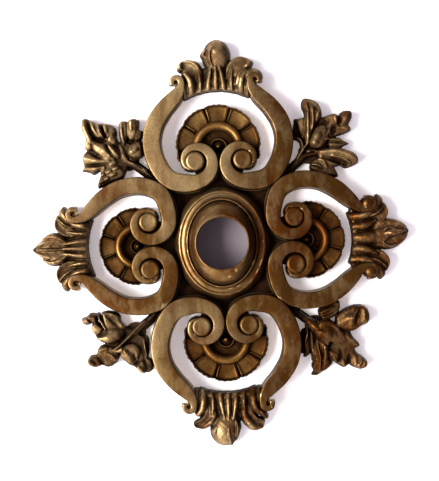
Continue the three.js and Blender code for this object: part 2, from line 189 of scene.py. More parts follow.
def tube_faces(rows, columns):
    """Quads between neighbouring rows of points, where each row closes on itself."""
    faces = []
    for row in range(0, (rows - 1) * columns, columns):
        for j in range(columns):
            j2 = (j + 1) % columns
            faces.append((row + j, row + columns + j, row + columns + j2, row + j2))
    return faces


def on_circle(centre, radius, angle):
    return centre[0] + radius * math.cos(angle), centre[1] + radius * math.sin(angle)


def lathe(name, profile, centre=(0, 0), *, segments):
    """A turned body on an axis that stands out from the wall; profile is (radius, w)."""
    angles = np.linspace(0, 2 * math.pi, segments, endpoint=False)
    on_axis = [radius == 0 for radius, _ in profile]
    plan, faces, rings = [], [], []
    for (radius, w), axial in zip(profile, on_axis):
        rings.append(len(plan))
        if axial:
            plan.append((*centre, w))
        else:
            plan += [(*on_circle(centre, radius, a), w) for a in angles]
    count = len(profile)
    closed = not (on_axis[0] and on_axis[-1])
    for k in range(count if closed else count - 1):
        k2 = (k + 1) % count
        for j in range(segments):
            j2 = (j + 1) % segments
            if on_axis[k] and on_axis[k2]:
                continue
            if on_axis[k]:
                faces.append((rings[k], rings[k2] + j, rings[k2] + j2))
            elif on_axis[k2]:
                faces.append((rings[k] + j, rings[k2], rings[k] + j2))
            else:
                faces.append((rings[k] + j, rings[k2] + j, rings[k2] + j2, rings[k] + j2))
    return new_object(name, np.array(plan), faces)


def fine(profile, radius, steps=5):
    """A profile with its inner corners rounded, so that every edge catches the light."""
    made = [profile[0]]
    for before, at, after in zip(profile, profile[1:], profile[2:]):
        before, at, after = (np.array(p, float) for p in (before, at, after))
        to_before, to_after = before - at, after - at
        reach_before, reach_after = np.linalg.norm(to_before), np.linalg.norm(to_after)
        reach = min(radius, 0.45 * reach_before, 0.45 * reach_after)
        first = at + to_before / reach_before * reach
        last = at + to_after / reach_after * reach
        for t in np.linspace(0, 1, steps):
            made.append(tuple((1 - t) ** 2 * first + 2 * t * (1 - t) * at + t * t * last))
    made.append(profile[-1])
    return made


def piece(obj, nodes, material):
    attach(obj, BODY)
    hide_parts(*nodes)
    obj.data.materials.clear()
    obj.data.materials.append(material)


# ---------------------------------------------------------------- curves


def through(points, samples):
    """A centripetal Catmull-Rom curve through points, sampled evenly between each pair."""
    points = np.asarray(points, float)
    points = np.vstack([2 * points[0] - points[1], points, 2 * points[-1] - points[-2]])
    made = []
    for i in range(1, len(points) - 2):
        p = points[i - 1 : i + 3]
        knots = np.concatenate([[0], np.cumsum(np.linalg.norm(np.diff(p, axis=0), axis=1) ** 0.5)])
        last = i == len(points) - 3
        for t in np.linspace(knots[1], knots[2], samples + 1)[: samples + (1 if last else 0)]:
            a = [blend_between(p[k], p[k + 1], knots[k], knots[k + 1], t) for k in range(3)]
            b = [blend_between(a[k], a[k + 1], knots[k], knots[k + 2], t) for k in range(2)]
            made.append(blend_between(b[0], b[1], knots[1], knots[2], t))
    return np.array(made)


def blend_between(a, b, start, end, t):
    return a * (end - t) / (end - start) + b * (t - start) / (end - start)


def spiral(centre, form, radius_at):
    angles = np.linspace(form["start"], form["end"], form["stations"])
    widths = np.linspace(*form["widths"], form["stations"])
    return [(*on_circle(centre, radius_at(a), a), width) for a, width in zip(angles, widths)]


def volute_radius(angle):
    return VOLUTE["radius"] * math.exp(VOLUTE["growth"] * (angle - VOLUTE["start"]))


def centreline(arm, samples=8):
    """The middle of a band, from inside its volute's eye to its end curl, as (q, p, width)."""
    centre = arm["volute_centre"]
    thin = VOLUTE["widths"][0]
    stations = [
        *((*on_circle(centre, radius, math.radians(a)), thin) for a, radius in VOLUTE_LEAD),
        *spiral(centre, VOLUTE, volute_radius),
        *arm["bow"],
        *spiral(arm["curl_centre"], CURL, lambda a: arm["curl_radius"]),
    ]
    return through(stations, samples)


# ---------------------------------------------------------------- materials


DIRT_AND_SHADE_COLOUR = (0.012, 0.004, 0.002)  # the near-black of the grime and patina in the hollows, and of the painted shade in the hollows and on faces turned from the light
HOLLOW_REACH = 3.0  # mm, how near its surroundings must stand for a spot to count as a hollow
GRAIN_DEPTH = 0.12  # mm
GRAIN_STRENGTH = 0.092


def node(tree, kind, **values):
    """A new node, with its settings and the plain values of its inputs."""
    made = tree.nodes.new(kind)
    for key, value in values.items():
        if hasattr(made, key):
            setattr(made, key, value)
        else:
            made.inputs[key.replace("_", " ")].default_value = value
    return made


def feed(tree, socket, value):
    """Links another node's output to a socket, or sets the socket to a number or a colour."""
    if hasattr(value, "is_linked"):
        tree.links.new(value, socket)
    else:
        socket.default_value = (*value, 1.0) if isinstance(value, tuple) else value


def aged_brass(name, worn, brown, patina_and_shade_heights, painted_shade_right_dark_left_arm=1.0, roughness=0.42, grain=(1, 1, 1), edges=0.55):
    """Brass whose raised parts are worn bright and whose low parts are painted dark: patina and painted
    shade.

    polish is the span of heights above the wall, in mm, over which that patina and painted shade give way;
    browner says how much the brown gains towards the right, as painted shade, and on the left arm;
    grain stretches the brushed streaks; edges says how far the sharp edges are rubbed bright.
    """
    material = bpy.data.materials.new(name)
    material.use_nodes = True
    tree = material.node_tree
    tree.nodes.clear()
    coords = node(tree, "ShaderNodeTexCoord")
    geometry = node(tree, "ShaderNodeNewGeometry")

    def noise(scale, detail, stretch=(1, 1, 1), rough=0.55):
        mapping = node(tree, "ShaderNodeMapping", Scale=stretch)
        feed(tree, mapping.inputs["Vector"], coords.outputs["Object"])
        made = node(tree, "ShaderNodeTexNoise", Scale=scale, Detail=detail, Roughness=rough)
        feed(tree, made.inputs["Vector"], mapping.outputs["Vector"])
        return made.outputs["Fac"]

    def ramp(source, low, high, to_low=0.0, to_high=1.0):
        made = node(tree, "ShaderNodeMapRange", From_Min=low, From_Max=high, To_Min=to_low, To_Max=to_high)
        made.interpolation_type = "SMOOTHSTEP"
        feed(tree, made.inputs["Value"], source)
        return made.outputs["Result"]

    def mix(factor, a, b):
        made = node(tree, "ShaderNodeMix", data_type="RGBA")
        sockets = {socket.name: socket for socket in made.inputs if socket.enabled}
        for socket, value in (("Factor", factor), ("A", a), ("B", b)):
            feed(tree, sockets[socket], value)
        return next(socket for socket in made.outputs if socket.enabled)

    def calc(operation, a, b=0.0):
        made = node(tree, "ShaderNodeMath", operation=operation)
        feed(tree, made.inputs[0], a)
        feed(tree, made.inputs[1], b)
        return made.outputs[0]

    def split(vector):
        made = node(tree, "ShaderNodeSeparateXYZ")
        feed(tree, made.inputs["Vector"], vector)
        return made.outputs

    patches = noise(90, 3)
    streaks = noise(260, 4, stretch=grain)
    specks = noise(1500, 3, rough=0.7)
    place = split(geometry.outputs["Position"])
    facing = split(geometry.outputs["Normal"])

    # how far a spot turns from worn brass to the brown: mottled at random, more on the left arm and
    # towards the bottom, and more towards the right as painted shade
    # painted shade: the brown gains towards the right, the side that lies dim in the light
    age_and_shade = ramp(place["X"], -20 * MM, 30 * MM, 0.0, 1.05 * painted_shade_right_dark_left_arm)
    left_arm = ramp(calc("ABSOLUTE", place["Z"]), 15 * MM, 27 * MM, 0.6 * painted_shade_right_dark_left_arm, 0.0)
    left_arm = calc("MULTIPLY", left_arm, ramp(place["X"], -17 * MM, -7 * MM, 1.0, 0.0))
    age_and_shade = calc("ADD", age_and_shade, left_arm)
    age_and_shade = calc("ADD", age_and_shade, ramp(place["Z"], -50 * MM, 50 * MM, 0.28, -0.2))
    blotches = ramp(noise(38, 4, rough=0.6), 0.25, 0.75, -0.14, 0.36)
    mottling = calc("ADD", ramp(patches, 0.32, 0.68, 0.0, 0.5), blotches)
    age_and_shade = calc("MAXIMUM", calc("MINIMUM", calc("ADD", mottling, age_and_shade), 1.0), 0.0)
    rubbed = ramp(noise(320, 3, stretch=(1, 1, 0.5), rough=0.6), 0.36, 0.58, 0.8, 1.0)
    age_and_shade = calc("MULTIPLY", age_and_shade, rubbed)

    # how dark it is painted: patina and painted shade in hollows and low down, painted shade where it
    # faces away to the right from the light, and grime in specks
    # the hollows take patina and painted shade
    occlusion = node(tree, "ShaderNodeAmbientOcclusion", samples=8, Distance=HOLLOW_REACH * MM)
    dirt_and_shade = ramp(occlusion.outputs["AO"], 0.4, 1.0, 1.0, 0.0)
    # painted shade on faces turned to the right, away from the light
    dirt_and_shade = calc("MAXIMUM", dirt_and_shade, ramp(facing["X"], 0.12, 0.75, 0.0, 0.8))
    # the low parts take patina and the painted shade of the side walls
    depth = calc("ADD", place["Y"], calc("MULTIPLY", calc("SUBTRACT", patches, 0.5), 1.6 * MM))
    dirt_and_shade = calc("MAXIMUM", dirt_and_shade, ramp(depth, -patina_and_shade_heights[1] * MM, -patina_and_shade_heights[0] * MM, 0.0, 0.92))
    dirt_and_shade = calc("ADD", dirt_and_shade, ramp(specks, 0.62, 0.8, 0.0, 0.4))
    edge = ramp(geometry.outputs["Pointiness"], 0.52, 0.62)

    redder = tuple(share * c for share, c in zip((0.85, 0.6, 0.5), brown))
    patina = mix(ramp(noise(55, 4, rough=0.6), 0.42, 0.62), brown, redder)
    # the brown is the patina, and towards the right it is also painted shade
    colour = mix(age_and_shade, worn, patina)
    colour = mix(ramp(streaks, 0.4, 0.7, 0.0, 0.55), colour, patina)
    colour = mix(ramp(specks, 0.4, 0.62, 0.0, 0.3), colour, patina)
    colour = mix(dirt_and_shade, colour, DIRT_AND_SHADE_COLOUR)
    colour = mix(calc("MULTIPLY", edge, edges), colour, tuple(1.5 * c for c in worn))

    rough = ramp(patches, 0.3, 0.7, roughness - 0.06, roughness + 0.1)
    rough = calc("ADD", rough, calc("MULTIPLY", dirt_and_shade, 0.3))
    rough = calc("SUBTRACT", rough, calc("MULTIPLY", edge, 0.1))

    bump = node(tree, "ShaderNodeBump", Strength=GRAIN_STRENGTH, Distance=GRAIN_DEPTH * MM)
    height = calc("ADD", calc("MULTIPLY", streaks, 0.5), calc("MULTIPLY", specks, 0.35))
    feed(tree, bump.inputs["Height"], height)

    shader = node(tree, "ShaderNodeBsdfPrincipled", Metallic=1.0)
    feed(tree, shader.inputs["Base Color"], colour)
    feed(tree, shader.inputs["Roughness"], rough)
    feed(tree, shader.inputs["Normal"], bump.outputs["Normal"])
    out = node(tree, "ShaderNodeOutputMaterial")
    feed(tree, out.inputs["Surface"], shader.outputs["BSDF"])
    return material


FINISHES = {
    "band": dict(
        worn=(0.42, 0.295, 0.135),
        brown=(0.068, 0.029, 0.006),
        patina_and_shade_heights=(3.2, 6.5),
        grain=(1, 1, 0.18),
    ),
    "leaf": dict(
        worn=(0.56, 0.40, 0.195),
        brown=(0.078, 0.030, 0.006),
        patina_and_shade_heights=(3.4, 6.6),
        painted_shade_right_dark_left_arm=0.62,
        roughness=0.48,
        edges=0.15,
    ),
    "shell": dict(
        worn=(0.38, 0.225, 0.07),
        brown=(0.11, 0.044, 0.008),
        patina_and_shade_heights=(2.0, 4.4),
        painted_shade_right_dark_left_arm=0.75,
        edges=0.1,
    ),
    "boss": dict(
        worn=(0.40, 0.265, 0.11),
        brown=(0.10, 0.040, 0.008),
        patina_and_shade_heights=(1.8, 4.4),
        painted_shade_right_dark_left_arm=0.8,
        roughness=0.36,
    ),
    "back": dict(
        worn=(0.04, 0.022, 0.011),
        brown=(0.025, 0.012, 0.006),
        patina_and_shade_heights=(0.5, 2.6),
        roughness=0.6,
    ),
    "rivet": dict(worn=(0.26, 0.18, 0.09), brown=(0.11, 0.055, 0.016), patina_and_shade_heights=(-2.0, -1.0)),
}
BRASS = {name: aged_brass(f"{name}_brass", **finish) for name, finish in FINISHES.items()}

# ---------------------------------------------------------------- scrolls


def band_section(half, top, rounding=0.38, arc=5, crown=0.04, flare=0.4):
    """A band's section, from its left foot over the top to its right foot."""
    r = min(rounding, 0.8 * half)
    left = [(-half - flare, SEAT), (-half - 0.3 * flare, 0.5 * (SEAT + top)), (-half, top - r)]
    for a in np.linspace(180, 90, arc + 1)[1:]:
        left.append((-half + r + r * math.cos(math.radians(a)), top - r + r * math.sin(math.radians(a))))
    flat = half - r
    inner = [(x, top + crown * (1 - (x / flat) ** 2)) for x in np.linspace(-flat, flat, 7)[1:-1]]
    return left + inner + [(-x, w) for x, w in reversed(left)]


def band(arm, side, grow=0.0):
    line = centreline(arm)
    along = np.gradient(line[:, :2], axis=0)
    along /= np.linalg.norm(along, axis=1)[:, None]
    across = np.column_stack([along[:, 1], -along[:, 0]])
    rings = []
    for (q, p, width), (du, dv) in zip(line, across):
        section = band_section(width / 2 + grow, BAND_TOP + grow)
        rings.append([(side * (q + x * du), p + x * dv, w) for x, w in section])
    rows, columns = len(rings), len(rings[0])
    faces = tube_faces(rows, columns)
    faces.append(tuple(range(columns)))
    faces.append(tuple((rows - 1) * columns + j for j in reversed(range(columns))))
    plan = np.array(rings).reshape(-1, 3)
    return new_object("band", plan, faces)


def volute_eye(centre):
    r = VOLUTE["eye"]
    dished = [(0, EYE_TOP - 0.1), (1.6, EYE_TOP - 0.06), (2.4, EYE_TOP), (r - 0.2, EYE_TOP - 0.28)]
    return lathe("eye", fine([*dished, (r, 6.9), (r, SEAT), (0, SEAT)], radius=0.4), centre, segments=72)


def volute_web(arm, side):
    """The floor of a volute's groove, out to the middle of the band round it."""
    q, p = arm["volute_centre"]
    outline = [on_circle((0, 0), 0.9 * VOLUTE["eye"], a) for a in (-0.6, -1.0, -1.4)]
    for a in np.linspace(VOLUTE["end"] - 0.02, VOLUTE["start"], 40):
        outline.append(on_circle((0, 0), volute_radius(a), a))
    outline = [(side * (q + x), p + y) for x, y in outline]
    count = len(outline)
    plan = [(x, y, w) for w in (SEAT, GROOVE_FLOOR) for x, y in outline]
    faces = [tuple(range(count)), tuple(range(count, 2 * count))]
    faces += [(i, (i + 1) % count, count + (i + 1) % count, count + i) for i in range(count)]
    return new_object("web", np.array(plan), faces)


def plug(centre, radius, top, bottom=SEAT):
    return lathe("plug", [(0, top), (radius, top), (radius, bottom), (0, bottom)], centre, segments=48)


def curl_eye(centre, as_bead):
    """The middle of an end curl: a sunk disc, or a bead that nearly fills the curl."""
    if not as_bead:
        return plug(centre, CURL_DISC["radius"], BAND_TOP - CURL_DISC["sunk"])
    domed = [(0, BAND_TOP + 0.75), (0.9, BAND_TOP + 0.6), (1.7, BAND_TOP + 0.1), (2.2, 6.1)]
    return lathe("eye", fine([*domed, (2.2, SEAT), (0, SEAT)], radius=0.5), centre, segments=48)


def turn_object(obj, degrees):
    obj.data.transform(Matrix.Rotation(-math.radians(degrees), 4, "Y"))


def block(u, v, w):
    corners = [(a, b, c) for a in u for b in v for c in w]
    faces = [(0, 1, 3, 2), (4, 6, 7, 5), (0, 4, 5, 1), (2, 3, 7, 6), (0, 2, 6, 4), (1, 5, 7, 3)]
    return corners, faces


def past_mitre(arm_row, side):
    arm = arm_row["pattern"]
    seam = 0.0 if (arm_row["name"], side) in BLENDED_CORNERS else SEAM
    corners, faces = block((-PAST_ALL, PAST_ALL), (-PAST_ALL, -seam / 2), THROUGH)
    is_tall = arm is TALL
    q, p = MITRE_POINT if is_tall else MITRE_POINT[::-1]
    angle = MITRE_ANGLE if is_tall else math.pi / 2 - MITRE_ANGLE
    plan = turned_by(corners, math.degrees(side * angle)) + np.array([side * q, p, 0])
    return new_object("past_mitre", plan, faces)


def scroll(arm_row, side):
    arm = arm_row["pattern"]
    centre = (side * arm["volute_centre"][0], arm["volute_centre"][1])
    curl = (side * arm["curl_centre"][0], arm["curl_centre"][1])
    fill = (centre[0] + side * VOLUTE_FILL["across"], centre[1] - VOLUTE_FILL["below"])
    made = band(arm, side)
    combine(
        made,
        [
            volute_web(arm, side),
            volute_eye(centre),
            plug(fill, VOLUTE_FILL["radius"], BAND_TOP - 0.05),
            curl_eye(curl, arm_row["name"] == "right"),
        ],
    )
    combine(made, [past_mitre(arm_row, side)], "DIFFERENCE")
    turn_object(made, arm_row["turn"])
    made.name = f"scroll_{arm_row['name']}_{arm_row['sides'][side]}_fine"
    smooth(made)
    piece(made, [made.name.removesuffix("_fine")], BRASS["band"])


for arm_row in ARMS:
    for side in (1, -1):
        scroll(arm_row, side)

# ---------------------------------------------------------------- boss

FOOT = SEAT + 0.01  # a wall's lower corner, a hair above the seat so that the foot stays flat
DOME_PROFILE = [
    (9.6, SEAT), (8.95, FOOT), (8.95, 8.8), (HOLE_RADIUS + 0.12, 11.4), (HOLE_RADIUS, 12.1),
    (HOLE_RADIUS + 0.2, 12.4), (8.6, 12.1), (9.3, 11.0), (9.9, 9.7), (10.35, 8.4),
    (10.5, 7.5), (10.5, FOOT),
]
RING_PROFILE = [
    (12.5, SEAT), (10.55, FOOT), (10.55, 7.2), (10.7, 7.85), (11.1, 7.95),
    (11.4, 7.5), (11.5, 6.7), (12.2, 6.15), (12.9, 6.0), (13.15, 6.25),
    (13.6, 6.2), (14.3, 5.5), (15.0, 4.7), (15.3, 3.6), (15.3, FOOT),
]


def make_oval(obj):
    """Stretches a turned body upwards and downwards, more the farther out it is from the hole."""
    for vertex in obj.data.vertices:
        radius = math.hypot(vertex.co.x, vertex.co.z) / MM
        share = min(1, max(0, (radius - HOLE_RADIUS) / (DOME_RADIUS - HOLE_RADIUS)))
        vertex.co.z *= 1 + OVAL_EXTRA * share / radius


for part, profile, rounding in (("dome", DOME_PROFILE, 0.35), ("ring", RING_PROFILE, 0.3)):
    made = lathe(f"boss_{part}_fine", fine(profile, radius=rounding), segments=160)
    make_oval(made)
    smooth(made)
    piece(made, [f"boss_{part}"], BRASS["boss"])

# ---------------------------------------------------------------- shells

PETAL_PITCH = 38.0  # degrees
DRAWN_RADIUS = 13.2  # the rim's radius in the shell's drawing, which each arm scales to its own
SHELL_EXTRA = 0.3  # the fine shell's rim reaches a little past the plain one's
BEAD = dict(centre=0.497, half=0.112)  # shares of the rim's radius
PETAL_START = 0.6  # a share too
CUT_DEPTH = 1.9  # of the slot between two petals
CLEAR_OF_BOSS = 4.2  # how far below its pin a shell is cut off
SHELL_REACH = 40  # farther than a shell reaches from its pin
NOTCH, RIPPLE = 0.04, 0.006  # how deep the rim is cut, as shares of its radius
RIPPLES = 47  # round the rim
FOOT_SHARE = 0.995  # the foot's radius, of the rim's


def across_petal(degrees):
    """0 on a petal's middle line and 1 between two petals."""
    return abs(((degrees / PETAL_PITCH + 0.5) % 1.0 - 0.5) * 2)


def bump_at(x, centre, spread):
    return math.exp(-(((x - centre) / spread) ** 2))


def shell_height(r, degrees):
    """The shell's top at a radius of its drawing, and an angle from the arm's axis."""
    across = across_petal(degrees)
    share = r / DRAWN_RADIUS
    dish = 2.9 + 1.2 * max(0, share - 0.7) + 1.2 * bump_at(share, 0.965, 0.022)
    lip = 0.75 * bump_at(across, 0.86, 0.06) + 0.3 * across**3
    petal = dish + lip * min(1, max(0, (share - PETAL_START) / 0.06))
    if across > 0.95:
        petal -= CUT_DEPTH
    bead = 3.0 + 2.1 * math.sqrt(max(0, 1 - ((share - BEAD["centre"]) / BEAD["half"]) ** 2))
    if share < BEAD["centre"] - BEAD["half"]:
        return 2.2 + 1.3 * bump_at(share, 0.185, 0.03)
    return max(bead, petal if share > PETAL_START else 0)


def shell(arm_row):
    arm = arm_row["pattern"]
    rim = arm["shell_radius"] + SHELL_EXTRA
    radii = np.concatenate([np.linspace(0.02, 0.99, 110), [1.0]]) * DRAWN_RADIUS
    angles = np.linspace(-180, 180, 361)[:-1]
    plan = []
    for r in radii:
        for a in angles:
            ripple = RIPPLE * math.cos(math.radians(a * RIPPLES))
            notch = 1 - (NOTCH * across_petal(a) ** 5 + ripple) * (r / DRAWN_RADIUS) ** 6
            place = r / DRAWN_RADIUS * rim * notch
            rad = math.radians(a)
            plan.append((place * math.sin(rad), place * math.cos(rad), shell_height(r, a)))
    rows, columns = len(radii), len(angles)
    faces = tube_faces(rows, columns)
    outer = (rows - 1) * columns
    base = len(plan)
    for j in range(columns):
        plan.append((plan[outer + j][0] * FOOT_SHARE, plan[outer + j][1] * FOOT_SHARE, SEAT))
        j2 = (j + 1) % columns
        faces.append((outer + j, base + j, base + j2, outer + j2))
    faces.append(tuple(range(base, base + columns)))
    faces.append(tuple(reversed(range(columns))))
    plan = np.array(plan) + np.array([0, arm["shell_centre"], 0])
    made = new_object("shell", plan, faces)
    cut_off = arm["shell_centre"] - CLEAR_OF_BOSS
    corners, block_faces = block((-SHELL_REACH, SHELL_REACH), (cut_off - SHELL_REACH, cut_off), THROUGH)
    cutters = [new_object("below", np.array(corners), block_faces)]
    cutters += [band(arm, side, grow=0.05) for side in (1, -1)]
    q, p = arm["volute_centre"]
    cutters += [plug((side * q, p), VOLUTE["radius"] + 0.5, 12, 1) for side in (1, -1)]
    combine(made, cutters, "DIFFERENCE")
    turn_object(made, arm_row["turn"])
    made.name = f"shell_{arm_row['name']}_fine"
    smooth(made, 50)
    piece(made, [f"shell_{arm_row['name']}"], BRASS["shell"])


def shell_pin(arm_row):
    head = [(0, 5.0), (0.45, 4.8), (1.1, 3.6), (1.5, 2.7), (1.5, 2.2)]
    shank = [(0.9, 2.1), (0.9, 0), (0, 0)]
    centre = (0, arm_row["pattern"]["shell_centre"])
    made = lathe(f"shell_pin_{arm_row['name']}_fine", fine([*head, *shank], 0.3), centre, segments=40)
    turn_object(made, arm_row["turn"])
    smooth(made)
    piece(made, [f"shell_pin_{arm_row['name']}"], BRASS["shell"])


for arm_row in ARMS:
    shell(arm_row)
    shell_pin(arm_row)

# ---------------------------------------------------------------- palmettes, sprays and buds

# A lobe is a kind and its stations: u, v, width, height over the seat. Along its stations a round,
# ridge, trough or web stands up from the seat, a swell or a groove works what is already there,
# and a cut takes it away. A leaf's stations go round its outline, and its widths are those of the
# rounded edge. The palmettes are in their arm's own plan; the sprays and buds are in the rosette's.
# GRAINS are the grains of the granular leaf.


def both(kind, stations):
    """A lobe and its mirror image in the arm's axis."""
    return [(kind, stations), (kind, [(-q, p, width, height) for q, p, width, height in stations])]


def leaf(edge, *outline):
    """A leaf, whose rounded edge is as wide as edge except where a point gives a width of its own."""
    return "leaf", [at if len(at) == 4 else (*at[:2], edge, at[2]) for at in outline]


def inner_arc(middle, drop=2.6, half=9.6):
    """Cuts a palmette off along the arc of its loop, whose top is at a height in the arm's plan."""
    line = [(q, middle - 2.5 - drop * (q / half) ** 2, 5, 0) for q in np.linspace(-half, half, 7)]
    return [("cut", line)]


PALMETTES, SPRAYS, BUDS = {}, {}, {}
FLUTES_TALL = [
    ("web", [(-9.4, 49.2, 4.6, 3), (0, 50.4, 5.4, 3), (9.4, 49.2, 4.6, 3)]),
    ("web", [(-6, 53, 5, 2.6), (6, 53, 5, 2.6)]),
    ("round", [(-9.8, 46.9, 1, 3), (-6, 48.2, 1.5, 3.3), (0, 48.9, 1.8, 3.5), (6, 48.2, 1.5, 3.3),
        (9.8, 46.9, 1, 3)]),
    ("round", [(0, 47.9, 2.2, 3.9), (0, 50.6, 2.5, 4.9), (0.1, 54, 1.8, 5), (0.1, 57.4, 1, 4.4)]),
    *both("round", [(2.5, 47.8, 2.3, 3.8), (2.3, 50.6, 2.4, 4.8), (1.7, 54, 1.7, 4.8),
        (1.1, 57.2, 1, 4.2)]),
    *both("ridge", [(5.1, 47.5, 2.6, 3.6), (4.9, 50, 3.2, 4.9), (5, 52.6, 3.2, 4.6),
        (5.4, 54.6, 2.4, 4)]),
    *both("round", [(8, 46.8, 2.4, 3.4), (7.9, 49.4, 2.9, 5.2), (8.3, 51.8, 2.8, 5.4),
        (9.6, 53.8, 2.2, 4.8)]),
    *both("round", [(10, 46.8, 1.8, 3.6), (10.1, 49.4, 2.2, 5.3), (10.8, 52.2, 1.6, 5.2)]),
]
PALMETTES["top"] = FLUTES_TALL + [
    ("trough", [(-5.6, 52, 2.2, 4.2), (-6.8, 54.6, 4.2, 4.8), (-8.6, 56.2, 4, 5.2),
        (-10.6, 56.2, 2.4, 5)]),
    ("round", [(-5, 54, 1.6, 3.6), (-5.9, 56.4, 2.2, 4.2), (-7.6, 57.6, 1.6, 4.4), (-9.4, 57.8, 1, 4)]),
    ("round", [(-10.4, 55, 1, 4.6), (-11.3, 56, 1.7, 5.6), (-10.7, 57.4, 1.2, 5.2)]),
    ("trough", [(4.4, 52.6, 2.2, 4.4), (5.8, 55, 4, 5), (7.6, 56.6, 4, 5.2), (10, 56.6, 3, 4.6)]),
    ("round", [(8.6, 54.6, 2, 3.8), (10.4, 56.2, 2.2, 4.6), (11.4, 57, 1.4, 4.2)]),
    ("round", [(8.6, 50.8, 2.2, 4.2), (10.6, 53, 3.6, 4.9), (12.8, 53, 3.4, 4.6),
        (13.8, 52.4, 2.2, 3.8)]),
    ("ridge", [(6.4, 50, 2, 4.6), (7.6, 53.4, 2.4, 5.2), (9.8, 55.2, 1.8, 4.8)]),
    ("round", [(0.2, 54.6, 4.4, 3.9), (0.3, 56.6, 5.2, 4.6), (0.5, 59.2, 7.4, 5.6),
        (0.6, 60.6, 6.8, 5.9), (0.6, 61.6, 4.6, 5.3)]),
    ("round", [(-3, 58.8, 1.4, 4.4), (-3.7, 60, 1.6, 4.8), (-3, 61, 1.4, 5.2)]),
    ("ridge", [(-0.6, 55.4, 1.6, 4.9), (-1.7, 58.4, 2.8, 6.2), (-1.4, 60.6, 2.8, 6.4),
        (-0.6, 62, 1.6, 5.8)]),
    *inner_arc(48.3),
]
PALMETTES["bottom"] = FLUTES_TALL + [
    *both("trough", [(5.2, 52, 2.4, 4.2), (6.2, 54.8, 3.2, 4.8), (8, 57, 3.2, 5),
        (10.2, 57.4, 2, 4.6)]),
    ("round", [(-4.6, 53.6, 2.2, 4), (-5.8, 56.4, 3, 4.8), (-7.8, 58.6, 2.6, 4.8),
        (-10.2, 58.8, 1.4, 4)]),
    ("round", [(4.4, 54, 2, 3.8), (5.4, 56.2, 2.4, 4.4), (7.4, 57.4, 1.6, 4.2)]),
    ("round", [(-9, 52, 1.8, 4.2), (-10.6, 54.2, 2.2, 4.8), (-11.8, 55.8, 1.4, 4.2)]),
    ("round", [(0.2, 54.6, 4.4, 3.9), (0.4, 57, 6.6, 5), (1.4, 59.6, 7.8, 5.6), (1.2, 61, 5.8, 5.3)]),
    ("ridge", [(0, 57, 2.2, 5), (0.2, 60.4, 3.4, 6.1), (-0.2, 62.6, 2.4, 5.4), (-0.5, 64.2, 0.9, 3.8)]),
    ("ridge", [(-2.2, 56.4, 1.5, 4.8), (-2.6, 58.8, 2, 5.8), (-2.2, 61, 1.4, 5.2)]),
    ("round", [(3.4, 57.6, 1.8, 4.8), (4.6, 59.4, 2.2, 5.2), (4.2, 61, 1.4, 4.6)]),
    *inner_arc(47.4),
]
FLUTES_WIDE = [
    ("web", [(-8.6, 43.6, 4.6, 3), (0, 44.2, 5, 3), (8.6, 43.6, 4.6, 3)]),
    ("web", [(-5.4, 47, 5, 2.6), (5.4, 47, 5, 2.6)]),
    ("round", [(-8.8, 41.3, 1, 3), (-5, 42.2, 1.5, 3.3), (0, 42.6, 1.8, 3.5), (5, 42.2, 1.5, 3.3),
        (8.8, 41.3, 1, 3)]),
    ("round", [(0, 41.9, 2.2, 3.9), (0, 44.4, 2.5, 4.9), (0.1, 47.6, 1.8, 5), (0.1, 50.4, 1, 4.6)]),
    *both("round", [(2.4, 41.8, 2.2, 3.8), (2.3, 44.2, 2.4, 4.8), (1.9, 47.4, 1.8, 4.8),
        (1.4, 50.2, 1, 4.2)]),
    *both("ridge", [(4.8, 41.8, 2.4, 3.6), (4.7, 44, 3, 4.9), (4.9, 46.6, 3, 4.6),
        (5.4, 48.6, 2.2, 4)]),
    *both("round", [(7.2, 41.6, 2.2, 3.4), (7.2, 43.6, 2.6, 5.2), (7.6, 46.2, 2.4, 5.2),
        (8.6, 48.2, 1.8, 4.4)]),
]
SIDE_WIDE = [
    *both("trough", [(4.8, 46.6, 2.2, 4.2), (5.8, 49.4, 3.2, 4.9), (7.6, 51.2, 3.2, 5.2),
        (9.8, 51.4, 2, 4.6)]),
    *both("round", [(7.6, 46.4, 2, 4), (9.2, 48.6, 2.8, 4.9), (11.2, 50, 2.8, 4.8),
        (12.8, 50, 1.4, 3.8)]),
    *both("ridge", [(6.6, 47.4, 1.6, 4.8), (7.9, 49.8, 1.8, 5.5), (9.9, 51.9, 1.2, 4.6)]),
]
PALMETTES["left"] = FLUTES_WIDE + SIDE_WIDE + [
    ("trough", [(0, 48.4, 3.6, 4.2), (0, 51.6, 6, 5.2), (0.1, 55, 5.6, 5.5), (0.1, 58.2, 2.8, 4.8),
        (0.1, 60, 0.9, 3.4)]),
    *both("round", [(2.2, 49.6, 1.6, 4.4), (3.6, 51.8, 2.2, 5), (4.1, 54.4, 1.8, 4.8),
        (3.2, 56.8, 1, 4)]),
    ("ridge", [(0, 50.4, 1.2, 4.6), (0, 54, 1.6, 5.4), (0.1, 58.6, 1, 5)]),
    *inner_arc(42.6, 2.2, 8.8),
]
